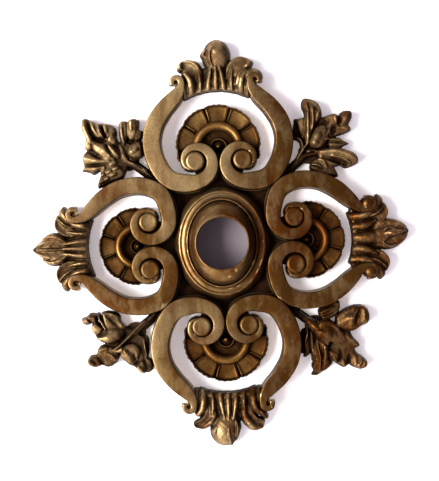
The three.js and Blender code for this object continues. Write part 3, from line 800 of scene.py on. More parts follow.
PALMETTES["right"] = FLUTES_WIDE[:3] + SIDE_WIDE + [
    *both("round", [(6.8, 41, 2.8, 3.6), (6.9, 44, 3.4, 5), (7.7, 46.8, 3, 5.2),
        (8.8, 48.4, 1.8, 4.4)]),
    *both("round", [(3.6, 41.2, 2.6, 3.6), (3.6, 44.2, 3, 4.9), (4.3, 47, 2.6, 4.8),
        (5.3, 48.8, 1.8, 4.2)]),
    ("round", [(0, 41.2, 2.6, 3.8), (0, 44.2, 3.6, 5), (0, 47.2, 4, 5.3), (0, 49.2, 2.6, 4.8)]),
    ("round", [(0, 47.8, 3.8, 4.4), (-0.4, 50.4, 5.6, 4.9), (-0.8, 52.2, 4.6, 4.4)]),
    ("trough", [(-0.4, 49.6, 5, 4), (-0.8, 52.6, 8, 5), (-1.2, 55.2, 6.4, 5.4), (-1.5, 57.4, 3, 4.8),
        (-1.6, 59.2, 0.8, 3.4)]),
    ("round", [(-1, 51.2, 1.8, 4.8), (-1.2, 53.6, 3, 5.9), (-1.4, 56, 2, 5.6), (-1.6, 58.2, 0.8, 4.4)]),
    *both("ridge", [(1.6, 50.6, 1.2, 4.6), (3, 52.8, 1.6, 5.2), (2.4, 55, 1.2, 4.8)]),
    *inner_arc(41.4, 2.2, 8.8),
]

GRAINS = (
    (-35.2, 21.4), (-34.3, 23.6), (-36.3, 24.2), (-36.4, 22.6), (-36.9, 20.6), (-33, 22.6), (-32.2, 24.6),
)
SPRAYS["upper_left"] = [
    # the low ground behind the leaves, and the stem
    leaf(1, (-41.2, 31, 2.8), (-38, 33, 2.6), (-34, 31, 2.6), (-35, 26.8, 2.6), (-40.8, 28.6, 2.8)),
    leaf(1, (-33, 33, 2.2), (-30, 33, 2.2), (-24.6, 34, 2), (-23.6, 31, 2), (-24.6, 27.4, 1.8),
        (-28.2, 25.2, 2), (-30, 22, 2.4), (-33, 24, 2.6)),
    ("round", [(-30.6, 31.4, 2, 3), (-29.6, 28, 2.4, 3.2), (-28.2, 26.2, 1.6, 3), (-26.2, 25.2, 1.4, 3),
        (-23.6, 23.4, 1.6, 2.8), (-20.8, 20.8, 1.6, 2.6)]),
    ("ridge", [(-28.6, 26.7, 0.8, 3.6), (-27, 26, 0.8, 3.8), (-25.8, 25.4, 0.7, 3.4)]),
    ("ridge", [(-23.7, 24.3, 0.7, 3.6), (-22.4, 22.6, 0.8, 4.2), (-20.9, 21.2, 0.7, 3.8)]),
    # the three-lobed leaf
    leaf(0.9, (-42.3, 40.3, 3.4), (-41.4, 40.7, 3.2), (-38.4, 39.4, 3.6), (-37.2, 38.9, 3.8),
        (-35.8, 38.9, 3.4), (-33.4, 38.4, 1, 3), (-31.9, 37.2, 1, 2.8), (-31.7, 34.6, 1, 3),
        (-33.4, 31.6, 1, 3.6), (-37.6, 32.6, 1, 3.4), (-40.4, 31.6, 1, 3.8), (-41.3, 33.8, 4),
        (-42, 35.8, 4.2), (-42.7, 37.6, 4)),
    ("swell", [(-41.8, 39.8, 1.8, 0.6), (-41.4, 37.4, 2.4, 1.1), (-40.2, 34.4, 2.2, 0.9),
        (-39.6, 32.8, 1.4, 0.4)]),
    ("groove", [(-40.4, 39.6, 0.8, 0.7), (-39.8, 36.8, 1.1, 1), (-38.4, 34.2, 1, 1)]),
    ("swell", [(-39.4, 39.4, 1.4, 0.5), (-38.6, 37, 1.8, 1.3), (-37, 34.6, 1.4, 0.8)]),
    ("swell", [(-37.4, 38.4, 1, 0.8), (-37, 36.8, 1.3, 1.7), (-35.9, 34.6, 1, 1.2)]),
    ("groove", [(-36.4, 38.6, 0.9, 0.6), (-36, 36.6, 1.1, 1.2), (-35, 34.4, 1, 1.2)]),
    ("swell", [(-35, 38.2, 1.8, 0.4), (-34.9, 36.4, 2.2, 0.9)]),
    ("groove", [(-38.6, 34, 1.4, 1), (-36.6, 33.4, 1.6, 1.4), (-35, 33.2, 1.2, 1)]),
    # the small lobe on its left
    leaf(0.8, (-41.8, 31.2, 3.8), (-41.4, 33.6, 4.2), (-40.2, 33.8, 4.4), (-39.2, 32.4, 4.2),
        (-39.4, 30.6, 3.8), (-40.6, 30.2, 3.6)),
    # two light leaves over it
    leaf(1.2, (-38.9, 33.2, 5), (-37.2, 32.9, 5), (-35, 32, 4.8), (-34, 30, 4.8), (-32.1, 27.4, 1, 4.2),
        (-34.6, 27.1, 4.4), (-37.4, 28.4, 4.8), (-38.9, 30, 1.1, 5), (-39.2, 31.8, 1.1, 5.2)),
    ("swell", [(-38.2, 31.8, 2.4, 0.5), (-36, 30.4, 3.8, 1), (-34, 28.8, 2.6, 0.8)]),
    ("groove", [(-39, 30.4, 0.6, 0.8), (-38, 29.4, 0.7, 1), (-36.9, 28.6, 0.6, 0.7)]),
    leaf(0.9, (-34.8, 33, 4.8), (-34, 34.9, 5), (-33, 36, 4.4), (-32, 35, 1, 3.4),
        (-31.3, 32.6, 1, 3.2), (-32.8, 31.6, 1, 4.2)),
    leaf(0.9, (-34.8, 32.6, 5.6), (-33.4, 31.9, 1, 5.4), (-31.8, 30.4, 1, 5), (-30.7, 28.6, 1, 4.8),
        (-31.2, 27.6, 4.6), (-32.6, 28.2, 5.2), (-34.2, 30.3, 5.6)),
    # the broad brown leaf on the left
    leaf(1, (-41.6, 30.3, 3.8), (-42.6, 28.6, 4.2), (-42.5, 26.6, 4), (-42.3, 25.2, 0.9, 3.6),
        (-43, 24.2, 0.8, 3.2), (-40.6, 23.6, 3.6), (-39.2, 22.9, 0.9, 3.4), (-37, 24.2, 3.8),
        (-33, 25.2, 3.8), (-31.6, 26.4, 3.6), (-33, 27.7, 3.8), (-37.2, 28.1, 3.8), (-39.6, 29.6, 3.4)),
    ("swell", [(-41.8, 28.2, 2.2, 0.7), (-38.6, 27.2, 2.8, 1.1), (-34.4, 26.9, 2, 0.7)]),
    ("groove", [(-42.4, 25.9, 1, 0.5), (-38.8, 25.8, 1.2, 0.9), (-34.4, 26, 1, 0.6)]),
    ("swell", [(-42.2, 24.7, 1.2, 0.4), (-39.2, 24.6, 1.8, 0.8), (-35.8, 25, 1.4, 0.6)]),
    # the granular leaf against the scroll
    leaf(0.9, (-37, 24.4, 0.8, 3.6), (-34.8, 25.1, 3.8), (-31.6, 25.4, 3.4), (-29.9, 24, 2.8),
        (-29.8, 21.8, 2.8), (-34, 20.2, 3.2), (-38.1, 18.6, 0.8, 3.2), (-38.1, 20.4, 0.8, 3.6),
        (-37.4, 22, 0.8, 3.8)),
    *(("swell", [(a - 0.4, b - 0.2, 1.3, 0.8), (a + 0.5, b + 0.2, 1.3, 0.9)]) for a, b in GRAINS),
    # the three-fingered leaf
    leaf(0.7, (-25.8, 39.6, 3), (-24.5, 39.6, 2.8), (-24.5, 36.4, 2.8), (-23.4, 36.1, 2.6),
        (-24, 33.4, 0.8, 2.8), (-26, 33, 0.8, 3)),
    leaf(0.9, (-31, 38.2, 4), (-30, 39.4, 3.8), (-28.5, 39.3, 3.8), (-28, 37.2, 3.8),
        (-28.4, 33.4, 3.2), (-29.4, 31.4, 3), (-30.5, 33, 3.4), (-31, 35.8, 4)),
    leaf(0.9, (-28.2, 39.2, 4), (-27.2, 39.9, 4), (-25.6, 40, 3.8), (-25.2, 38, 3.8),
        (-25.2, 35.6, 3.4), (-26.4, 33, 3), (-28, 33.6, 3.2), (-28.3, 36.4, 3.8)),
    ("swell", [(-29.9, 38.4, 1.4, 0.4), (-29.9, 35.4, 1.4, 0.8), (-29.4, 32.4, 1.2, 0.4)]),
    ("swell", [(-26.9, 39.2, 1.6, 0.5), (-26.9, 36.6, 1.6, 0.7)]),
    ("groove", [(-28.5, 33, 1, 0.7), (-27.4, 32.4, 0.9, 0.8), (-26.4, 32.8, 0.8, 0.6)]),
]
SPRAYS["upper_right"] = [
    leaf(1, (28.6, 33, 2.4), (30.6, 37, 2.4), (33.4, 37.6, 2.4), (34.6, 31.6, 2.4), (31, 30, 2.4)),
    leaf(0.8, (24, 38, 1.6), (26, 37.8, 1.8), (28, 30, 1, 2), (33, 34, 1, 2.4), (34, 28, 1, 2.4),
        (31.2, 26.1, 2.2), (28.4, 26, 1.8), (26.2, 26.6, 1.8), (25.6, 30.6, 1.6), (23.6, 32.4, 1.6)),
    # the stems
    ("round", [(29.4, 26.8, 1.4, 2.8), (26.6, 26.2, 1.8, 2.8), (24.2, 24.2, 2, 2.8),
        (20.8, 21.2, 2, 2.6)]),
    ("ridge", [(28.6, 30.6, 1.2, 4.8), (27.2, 29.2, 1.2, 4.8), (26, 27.6, 1.1, 4.6),
        (24.3, 25.1, 0.9, 4)]),
    ("ridge", [(23.8, 31.9, 1, 3.6), (25, 31.6, 1.1, 4.4), (25.9, 30.8, 1.1, 4.6), (26.2, 29.6, 1, 4.6),
        (26.2, 28.2, 0.9, 4.4)]),
    ("ridge", [(28, 26.9, 0.6, 2.8), (29.8, 26.6, 0.7, 3.6), (30.7, 27.3, 0.8, 4.4),
        (29.6, 27.8, 0.6, 3.6), (28.4, 28, 0.6, 2.8)]),
    # the small leaf beside the tall one
    leaf(0.8, (24.7, 37.2, 3.2), (25.8, 38, 3.4), (27.2, 38.2, 3.6), (27.4, 34.6, 3.6),
        (26.9, 31.4, 3.2), (26, 31.9, 3), (25.1, 34.8, 3)),
    # the serrated leaf
    leaf(0.9, (32.4, 38, 2.6), (35.4, 38.9, 3.4), (36.7, 39.2, 3.8), (38, 38.5, 0.8, 3.6),
        (38.9, 39.4, 4), (40.2, 40, 4), (42, 39.5, 3.8), (42.3, 38, 3.8), (41.6, 36.5, 0.8, 3.6),
        (41.1, 35.4, 0.8, 3.4), (41.9, 34, 0.8, 3.2), (40, 32.8, 3.4), (38, 32.2, 3.2),
        (34.6, 31.6, 1, 3.2), (33.6, 34, 1, 3), (31.2, 35.4, 2.6)),
    ("groove", [(33.2, 37.8, 1.8, 0.4), (34.2, 36.6, 2.4, 1), (33, 35.8, 1.8, 0.8)]),
    ("swell", [(36.6, 38.6, 1.6, 0.5), (36.8, 37.2, 2, 1), (37.2, 35.4, 1.6, 0.7)]),
    ("swell", [(41, 39, 2, 0.4), (40.2, 37.6, 2.6, 1.1), (38.8, 35.8, 1.8, 0.8)]),
    ("swell", [(41.2, 34.3, 1.2, 0.3), (39.6, 34.4, 1.8, 0.9), (37.4, 34.4, 1.4, 0.5)]),
    ("groove", [(38, 38.2, 0.8, 0.8), (38.3, 36.4, 1, 0.9), (36.6, 34.8, 0.9, 0.8)]),
    ("groove", [(36.2, 35.2, 1.4, 0.6), (36.2, 33.8, 1.8, 1.2), (35.8, 32.4, 1.4, 1)]),
    # the pointed leaf
    leaf(0.8, (34.2, 31.4, 0.9, 3.8), (36.4, 31.6, 0.9, 3.8), (38.2, 31.4, 3.6), (39.6, 30.4, 3.4),
        (41.1, 29.6, 0.6, 2.8), (39.6, 29, 3.2), (38.6, 28.4, 3.4), (34.4, 28.6, 0.9, 3.4)),
    ("groove", [(34.4, 30.4, 1, 0.6), (37, 30, 1, 0.9), (39.8, 29.7, 0.7, 0.5)]),
    # the tall leaf
    leaf(0.8, (26.6, 43, 0.9, 4), (27.3, 44.2, 0.9, 3.8), (28.8, 44.1, 0.9, 3.8), (31, 43.2, 1, 3.6),
        (32.2, 41.8, 1, 3.6), (32.9, 39.6, 1, 3.6), (32.6, 37.6, 1, 3.6), (30.7, 36, 1, 4.4),
        (29.6, 33.4, 0.9, 4.8), (28.4, 29.8, 4.6), (27.3, 29.6, 4.6), (26.8, 31.4, 4.4),
        (27.2, 36, 4.6), (27.2, 39.8, 4.6), (26.6, 41.2, 4.4)),
    ("swell", [(27.9, 31, 1, 0.5), (28.1, 35.6, 1.4, 1), (28.2, 39.8, 1.6, 0.9),
        (27.9, 42.4, 1.4, 0.6)]),
    ("swell", [(29.5, 34.6, 1, 0.6), (29.8, 37.6, 1.4, 1), (29.7, 41, 1.4, 0.8)]),
    ("swell", [(31, 37, 1.4, 0.5), (31.6, 39.4, 1.8, 0.7)]),
    ("groove", [(29.9, 41.2, 1.1, 0.4), (31.1, 40.6, 1.3, 0.6)]),
    ("groove", [(27.1, 40.3, 0.9, 0.8), (27.9, 39.9, 0.8, 0.8)]),
    # the lower right leaf, grooved along its middle
    leaf(1, (30.6, 28.1, 3.8), (35, 28.4, 4.2), (38.7, 28.1, 4.2), (42.2, 26.8, 4.2), (43.6, 25, 4),
        (43.5, 23.4, 0.9, 3.8), (41.8, 22.5, 0.9, 3.8), (39.4, 21.9, 0.9, 3.4), (37.8, 22.8, 0.9, 3.2),
        (36.4, 22.4, 0.9, 3.2), (33, 23.4, 3.4), (31, 25.6, 3.6)),
    ("swell", [(32, 27.1, 1.8, 0.6), (36.6, 27.2, 2.4, 1), (41, 25.6, 3, 1.2), (42.8, 24.4, 2, 0.6)]),
    ("groove", [(32.8, 25.6, 1.2, 0.6), (36.4, 24.3, 1.8, 1.5), (39.4, 23, 1.8, 1.6)]),
    ("swell", [(35.6, 25.8, 0.9, 0.6), (38.8, 24.8, 1, 1.1), (40.8, 23.3, 0.9, 1)]),
    # the lobes against the scroll
    leaf(0.9, (28.3, 22.8, 0.7, 3.4), (28.9, 24.3, 0.8, 3.6), (30.6, 25.3, 0.8, 3.6), (32.8, 25, 3.4),
        (35.4, 23.2, 3), (36.5, 21.6, 2.8), (37.2, 19.4, 2.8), (33, 19.6, 3), (28.6, 21.6, 0.8, 3.2)),
    ("swell", [(28.8, 23.3, 0.9, 1), (30.4, 23.2, 1.2, 1.3), (32, 22.2, 1, 1)]),
    ("swell", [(31.2, 25.2, 1, 0.7), (32.6, 24.2, 1.4, 0.8), (33.6, 22.2, 1.2, 0.6)]),
]
SPRAYS["lower_left"] = [
    leaf(1, (-41.5, -25.2, 0.9, 3.4), (-38.2, -24.4, 3.2), (-34, -26, 3), (-33.4, -31.6, 3),
        (-36.6, -31.4, 3), (-38.6, -29, 0.9, 3), (-40.6, -28, 0.9, 3.4)),
    leaf(1, (-31.2, -35, 2.6), (-29.6, -37.4, 2.6), (-27.6, -38.2, 2.8), (-25.6, -36, 2.6),
        (-26.6, -32.6, 2.4)),
    leaf(1, (-33, -24, 2.2), (-31, -25.4, 0.9, 2.2), (-28.6, -25.8, 0.8, 2), (-26.2, -28, 0.8, 2),
        (-24.4, -28.2, 0.8, 2), (-24.6, -34.8, 0.8, 2), (-27, -36, 2.2), (-32, -33, 2.4),
        (-35, -31, 2.4)),
    # the brown lobe against the scroll
    leaf(0.9, (-38.6, -20.2, 0.8, 4), (-36.4, -19.8, 3.8), (-33, -21, 3), (-32.5, -23.2, 2.6),
        (-30.8, -25, 2.4), (-32.6, -26.4, 2.8), (-37, -25.4, 4.4), (-38, -23.2, 0.8, 4.4)),
    ("groove", [(-36.4, -21.4, 1.6, 0.5), (-34.8, -23, 2, 0.8), (-33.4, -24.8, 1.6, 0.5)]),
    # the rolled tip, its cream stem and the bright line beside them
    leaf(0.9, (-45, -21.9, 0.8, 3.6), (-43.3, -21.3, 4.2), (-42.4, -20.5, 4.2), (-41.2, -20.2, 4),
        (-39.9, -21, 4), (-40, -23, 4.4), (-41.6, -23.4, 4.6), (-43.2, -24.1, 4.2),
        (-44.6, -23.5, 0.8, 3.8)),
    ("swell", [(-44.2, -22.6, 1.8, 0.5), (-42.8, -22.4, 2.2, 0.9)]),
    ("swell", [(-42, -21.6, 1.8, 0.7), (-40.8, -21.8, 1.8, 0.7)]),
    ("groove", [(-43, -21.4, 0.7, 0.5), (-42.2, -22.4, 0.8, 0.8), (-41.4, -23.2, 0.7, 0.6)]),
    leaf(1, (-41.7, -23.8, 5.2), (-40.4, -22.9, 5), (-39.2, -23.8, 4.8), (-37.9, -25, 5),
        (-38.6, -26.3, 5.2), (-40.8, -27, 0.9, 5), (-41.8, -25.4, 0.9, 5.2)),
    ("ridge", [(-39.6, -20.8, 1, 4.6), (-39, -22.4, 1.2, 5.2), (-38, -24.2, 1.2, 5.4),
        (-37.3, -25.4, 1.2, 5.4)]),
    ("groove", [(-40, -21.8, 0.7, 1), (-39.6, -23, 0.8, 1.2), (-38.6, -24.6, 0.7, 0.9)]),
    # the light lobe in the middle
    leaf(1, (-40.5, -28.2, 0.9, 4.6), (-39.4, -27.2, 5), (-37, -26.2, 5.2), (-36.2, -25.3, 5),
        (-33.6, -25.2, 1.2, 4.2), (-31.6, -26.2, 1.2, 3.6), (-31.6, -28.2, 1.2, 3.8),
        (-34, -29.7, 1.2, 4.4), (-36.8, -30.2, 1.1, 4.6), (-39.2, -29.5, 4.4)),
    ("swell", [(-39.2, -28.2, 2, 0.6), (-36.6, -28.2, 3.4, 1.2), (-33.8, -27.4, 3.4, 1)]),
    ("swell", [(-40.4, -27, 0.9, 0.6), (-38.6, -26.5, 1.2, 1), (-36.9, -25.6, 1.2, 0.9)]),
    ("groove", [(-40.2, -27.7, 0.6, 0.7), (-38.6, -27.2, 0.7, 1), (-37, -26.7, 0.6, 0.6)]),
    ("groove", [(-39.8, -28.8, 0.7, 0.6), (-38.6, -29.4, 0.8, 0.9), (-37.2, -30, 0.6, 0.5)]),
    # the leaf at the lower left
    leaf(1, (-40.3, -31.8, 0.9, 3.8), (-39.2, -30.6, 0.9, 3.8), (-36.8, -30.3, 3.8),
        (-34.8, -31.4, 4.2), (-33.5, -33.2, 4), (-33.7, -34.8, 3.4), (-35.2, -36.7, 3.2),
        (-37.2, -37.5, 3.4), (-39, -36.8, 0.9, 3.8), (-41, -37.4, 4), (-43, -36.6, 4.6),
        (-43.6, -35.2, 4.6), (-42.4, -33.6, 4.4), (-40.8, -33.4, 0.9, 4)),
    ("swell", [(-39.4, -31.8, 1.6, 0.5), (-37.4, -31.4, 1.8, 0.8)]),
    ("swell", [(-42.8, -35.2, 2.4, 1.1), (-41.8, -36, 2.2, 0.8)]),
    ("swell", [(-37.2, -33, 1.4, 0.7), (-35.6, -33.8, 2, 1.1), (-34.6, -34.8, 1.4, 0.5)]),
    ("groove", [(-40.6, -33.4, 1, 0.5), (-39.4, -34.4, 1.8, 0.9), (-38.4, -36.4, 1.2, 0.8)]),
    # the cream patch, and the stem that runs from it to the scroll
    leaf(0.8, (-36.2, -32.7, 5.2), (-34.2, -31.7, 5.4), (-32.2, -30.8, 0.9, 5.4),
        (-31.7, -32.6, 0.9, 5.2), (-33.2, -33, 5), (-34.8, -32.8, 5)),
    ("ridge", [(-35.8, -32.3, 0.8, 5.4), (-33.6, -31, 1.1, 5.8), (-31.4, -29.2, 1.3, 5.6),
        (-29.2, -27.2, 1.3, 5), (-27, -25, 1.2, 4.4), (-24.8, -23.1, 1.1, 4)]),
    ("round", [(-28.4, -27, 1.6, 3.4), (-26, -24.8, 1.7, 3), (-21.4, -20.8, 1.9, 2.6)]),
    # the lobes beyond the bud
    leaf(0.9, (-25.7, -34.6, 2.8), (-23.8, -35.2, 2.6), (-22.9, -37, 2.6), (-23.4, -39, 2.6),
        (-25.2, -39.8, 2.8), (-25.6, -37, 3)),
    leaf(1, (-28.7, -37.6, 4.6), (-27.4, -36.2, 4.8), (-26.2, -35.6, 4.6), (-25.2, -37, 4),
        (-25.1, -39.2, 3.8), (-26.2, -40, 4.2), (-27.8, -39, 4.6)),
    ("swell", [(-27.6, -37.6, 2, 0.8), (-26.6, -38.6, 2.2, 0.8)]),
    ("ridge", [(-25.7, -29, 0.8, 3.4), (-25.4, -31.4, 1.1, 4.2), (-24.9, -34.4, 0.9, 3.6)]),
]
SPRAYS["lower_right"] = [
    leaf(0.8, (29, -26, 2.2), (36, -27, 1, 2.4), (38, -34, 1, 2.6), (33, -38, 1, 2.4), (27.4, -36.6, 2),
        (25.2, -35.4, 1.8), (23.4, -35.8, 0.7, 1.4), (23.6, -28.4, 0.7, 1.4), (25.4, -27.4, 0.7, 1.6)),
    # the lobes against the scroll, and the stem
    leaf(0.9, (29.1, -22.4, 0.8, 3.2), (30, -21, 3.2), (34, -19.4, 3), (36, -19.6, 3),
        (35.9, -22.6, 3.2), (34, -24.6, 3.4), (30.8, -25.4, 3.8), (29.6, -24.2, 0.8, 3.6)),
    ("swell", [(30.2, -24.6, 1, 1), (32.6, -24, 1.2, 0.8), (35.2, -22.6, 1.1, 0.7)]),
    ("swell", [(29.8, -23, 0.9, 0.6), (31.6, -22.2, 1.2, 0.9), (33.6, -21.4, 1, 0.6)]),
    ("round", [(21, -20.8, 1.9, 2.6), (24.2, -24, 1.7, 2.8), (26.8, -25.4, 1.4, 3.2),
        (30, -26.2, 1.6, 4)]),
    ("ridge", [(26.4, -25.5, 0.7, 3.8), (27.8, -25.9, 0.8, 4.6), (29, -26.8, 0.9, 5)]),
    # the dark body with its lobes to the right and below
    leaf(1, (36, -28.6, 3.2), (38.9, -29.2, 0.9, 3), (39.8, -31, 0.9, 3.2), (41.4, -32.8, 0.9, 3.2),
        (41.9, -33.9, 0.8, 3), (40.2, -34.8, 0.8, 3.2), (41, -36.1, 0.9, 3.8), (42.8, -37.4, 4),
        (44.1, -39.2, 3.8), (43.6, -40.6, 3.6), (41.9, -41.3, 3.6), (39.4, -40.5, 3.8),
        (38.2, -39.7, 0.9, 3.4), (36.6, -40.6, 0.9, 3.6), (35.2, -39.8, 0.9, 3.4), (33.2, -38, 3.2),
        (32, -34, 3.2)),
    ("swell", [(41.2, -33.6, 1.4, 0.3), (39.6, -32.2, 2.2, 0.7), (38, -30.8, 1.8, 0.5)]),
    ("swell", [(40, -37.2, 1.8, 0.5), (40.2, -39.2, 2.6, 0.9)]),
    ("swell", [(41.7, -37.2, 1, 0.7), (41.7, -38.8, 1.2, 1.3), (40.9, -40.2, 1, 0.8)]),
    ("swell", [(43, -38.8, 1.8, 0.6), (42.8, -40.2, 1.6, 0.5)]),
    ("groove", [(38.3, -40, 1.2, 0.8), (38, -38.2, 1.4, 1.2), (38.4, -36.4, 1.2, 0.7)]),
    ("swell", [(36, -37.6, 1.4, 0.4), (36.4, -39.2, 2, 1)]),
    ("groove", [(34.4, -38.6, 0.9, 0.9), (35.6, -36.8, 1.2, 1), (35.6, -34.8, 1.2, 0.7)]),
    leaf(0.9, (31.5, -34.6, 4.4), (33.2, -34.8, 4.2), (35.2, -36, 3.8), (34.9, -37.8, 3.8),
        (34.1, -38.7, 0.8, 3.8), (32.6, -37.4, 4)),
    # the rounded leaf at the upper right
    leaf(1, (34.6, -24.2, 3.6), (36.6, -22.6, 3.6), (39.8, -21.2, 3.8), (42.4, -21, 4.2),
        (44.4, -22, 1.1, 4), (45.3, -24.2, 1.1, 3.8), (44.8, -26.6, 1.1, 3.8), (42.4, -27.8, 1.1, 4),
        (40.2, -29.1, 3.8), (37.4, -28.8, 3.6), (34.6, -27, 3.6)),
    ("swell", [(37, -25.8, 3, 0.6), (39, -25, 3.6, 1.4), (39.4, -26.8, 3, 0.8)]),
    ("swell", [(41.6, -21.8, 1.1, 0.6), (40.6, -23.2, 1.5, 1.4), (39.8, -25, 1.3, 0.9)]),
    ("groove", [(42, -22.6, 0.8, 0.3), (41.5, -24.6, 1.1, 0.4), (40.6, -26.8, 0.9, 0.3)]),
    ("swell", [(43.4, -22.6, 1.8, 0.5), (43.4, -25.4, 2, 0.7)]),
    # the long leaf pointing down
    leaf(0.8, (28, -30.6, 4.6), (29.6, -31.2, 0.9, 4.8), (31.6, -33.2, 0.9, 4.6),
        (32.2, -36.2, 0.9, 4.2), (33.2, -38.8, 3.4), (32, -40.2, 0.9, 3.6), (29.4, -41.9, 0.9, 3.6),
        (27.6, -42.8, 0.9, 3.2), (26.3, -42.4, 3.2), (27, -41, 3.8), (26.5, -39.6, 3.8),
        (27.4, -37.2, 4), (27.6, -33.6, 4.4)),
    ("swell", [(28.2, -31.2, 0.8, 0.6), (28.5, -33.8, 1, 1.2), (29, -36.4, 1, 1.2),
        (28.8, -41, 0.9, 0.9)]),
    ("swell", [(30.6, -33.4, 1.6, 0.7), (30.8, -36, 1.6, 0.6), (30.4, -39, 1.4, 0.4)]),
    ("groove", [(29.9, -33.4, 0.7, 0.2), (29.9, -36.8, 0.8, 0.3), (29.8, -40.4, 0.7, 0.2)]),
    ("groove", [(31.8, -36.8, 0.9, 0.9), (32.3, -38.2, 0.9, 1.1), (32.1, -39.6, 0.7, 0.7)]),
    ("groove", [(26.8, -41.6, 0.6, 0.5), (28.2, -41.8, 0.7, 0.6), (29.6, -41.4, 0.6, 0.5)]),
    # the knot of the stem
    ("round", [(26.2, -25.6, 2.4, 4), (27.4, -26.9, 3.2, 5), (28.6, -28, 2.6, 5.2)]),
    # the narrow leaves beside the scroll
    leaf(0.7, (26, -28.4, 3), (27.2, -28.8, 3.2), (27.6, -32, 3.4), (27.6, -35.4, 3.6),
        (26.9, -37.8, 0.6, 3.2), (26.4, -34.8, 3), (26, -31.6, 2.8)),
    ("ridge", [(27.6, -34.6, 0.6, 3.8), (27.4, -36.2, 0.8, 4.2), (26.9, -37.8, 0.6, 3.4)]),
    leaf(0.7, (25.1, -26.2, 0.6, 3.2), (25.8, -28.4, 3.8), (26, -31.6, 3.6), (26.3, -34.8, 3.2),
        (25.8, -36.2, 3), (24.2, -36.9, 0.6, 2.8), (24.4, -34.4, 3.4), (24.3, -31.8, 3.8),
        (25.1, -29, 0.6, 3.8)),
    ("swell", [(25.1, -26.6, 0.6, 0.8), (25.5, -28.4, 0.8, 1.1), (24.8, -31, 0.8, 1),
        (24.5, -33.4, 0.7, 0.6)]),
    # the calyx
    leaf(0.9, (27.3, -28.4, 5.2), (28.7, -27.8, 5.2), (28.9, -26.2, 4.8), (30.4, -25.1, 1, 4.4),
        (33, -25.4, 1.1, 4), (35.6, -27.6, 1.1, 4), (37.2, -29.8, 1, 3.8), (38, -31.8, 3.6),
        (36.6, -32.7, 3.6), (34.4, -33, 3.8), (32.8, -32.3, 4.2), (31.8, -33.6, 4.4), (29.8, -31.6, 5),
        (28.2, -30.4, 5.2)),
]

BUDS["upper_left"] = [
    leaf(1.8, (-26.6, 32.3, 4.4), (-24.4, 32.8, 4.2), (-23.1, 31.2, 3.8), (-23.3, 28.6, 3.8),
        (-24.6, 27.5, 4.2), (-27.2, 27.7, 5), (-28.5, 29.2, 5.2), (-27.9, 30.8, 5.2)),
    ("swell", [(-27, 29.4, 1.8, 0.7), (-25.6, 30.2, 1.8, 0.7)]),
    ("ridge", [(-27.5, 28.6, 0.8, 5.4), (-27.4, 30.6, 0.9, 5.8), (-26.4, 31.8, 0.8, 5.2)]),
]
BUDS["upper_right"] = [
    leaf(1.8, (28, 30.3, 5.4), (29, 32.8, 5.2), (30.4, 35, 4.6), (32.4, 35.7, 4.2), (34.4, 34.8, 4),
        (34.8, 32.8, 4), (33.9, 30.2, 4.2), (32.2, 28.4, 4.8), (30, 28.3, 5.4), (28.5, 29, 5.6)),
    ("swell", [(29.8, 30.2, 3, 0.9), (31, 32.2, 3.4, 0.9)]),
    ("ridge", [(35.1, 34.9, 0.8, 4.4), (34.6, 33.4, 0.9, 4.8), (33.9, 31.9, 0.8, 4.6)]),
    ("round", [(33.4, 31, 1, 4.6), (34.3, 31.2, 1.2, 4.4)]),
]
BUDS["lower_left"] = [
    leaf(1.8, (-32.7, -31.2, 5.2), (-30.8, -30.1, 4.8), (-28.4, -30.2, 4.2), (-26.8, -31.8, 3.8),
        (-26.8, -33.8, 3.6), (-28.2, -36.6, 3.8), (-29.6, -37.5, 4.2), (-31.6, -36, 4.8),
        (-33.1, -34.6, 5), (-33.3, -33, 5.2)),
    ("swell", [(-31.6, -32.4, 1.8, 0.8), (-30.2, -34.4, 3.2, 0.9)]),
    ("groove", [(-28.6, -33.6, 0.9, 0.5), (-28.4, -35.2, 1, 0.8)]),
]
BUDS["lower_right"] = [
    leaf(1.6, (27.7, -28.8, 1.4, 5.4), (29.2, -27.4, 5.4), (31.4, -26.4, 1.8, 5),
        (33.8, -27.2, 1.8, 4.6), (35.4, -29.4, 1.8, 4.4), (35.6, -31.4, 4.2), (33.4, -31.8, 4.6),
        (31.2, -31.6, 5), (29.4, -31, 1.4, 5.4), (28.4, -30.2, 1.4, 5.4)),
    ("swell", [(29.6, -28.8, 1.8, 0.7), (32, -29.4, 3.2, 0.8)]),
    ("swell", [(29, -28, 0.9, 0.5), (28.3, -29.2, 1, 0.7), (29.3, -30.7, 0.9, 0.5)]),
]

SPRAY_SCALE = 1.017  # the corner sprays and their buds, about the rosette's centre
VOXEL = 0.16
NOTHING = SEAT - 1.0  # the height written where a casting has no material
LEAST_THICKNESS = 0.4  # what a groove leaves of it
UNEVEN = 0.05  # how far a cast surface wanders
LEAF_EDGE = 0.55  # how high a leaf stands at its outline, of its full height
PALMETTE_FULLER, SPRAY_FULLER, BUD_FULLER = 1.25, 1.2, 1.1
SECTIONS = {
    "round": lambda s: (1 - s**2) ** 0.42,
    "ridge": lambda s: (1 - 0.55 * s) * (1 - s**6) ** 0.5,
    "trough": lambda s: (0.66 + 0.30 * s**2) * (1 - s**8) ** 0.5,
    "web": lambda s: (1 - s**8) ** 0.5,
}


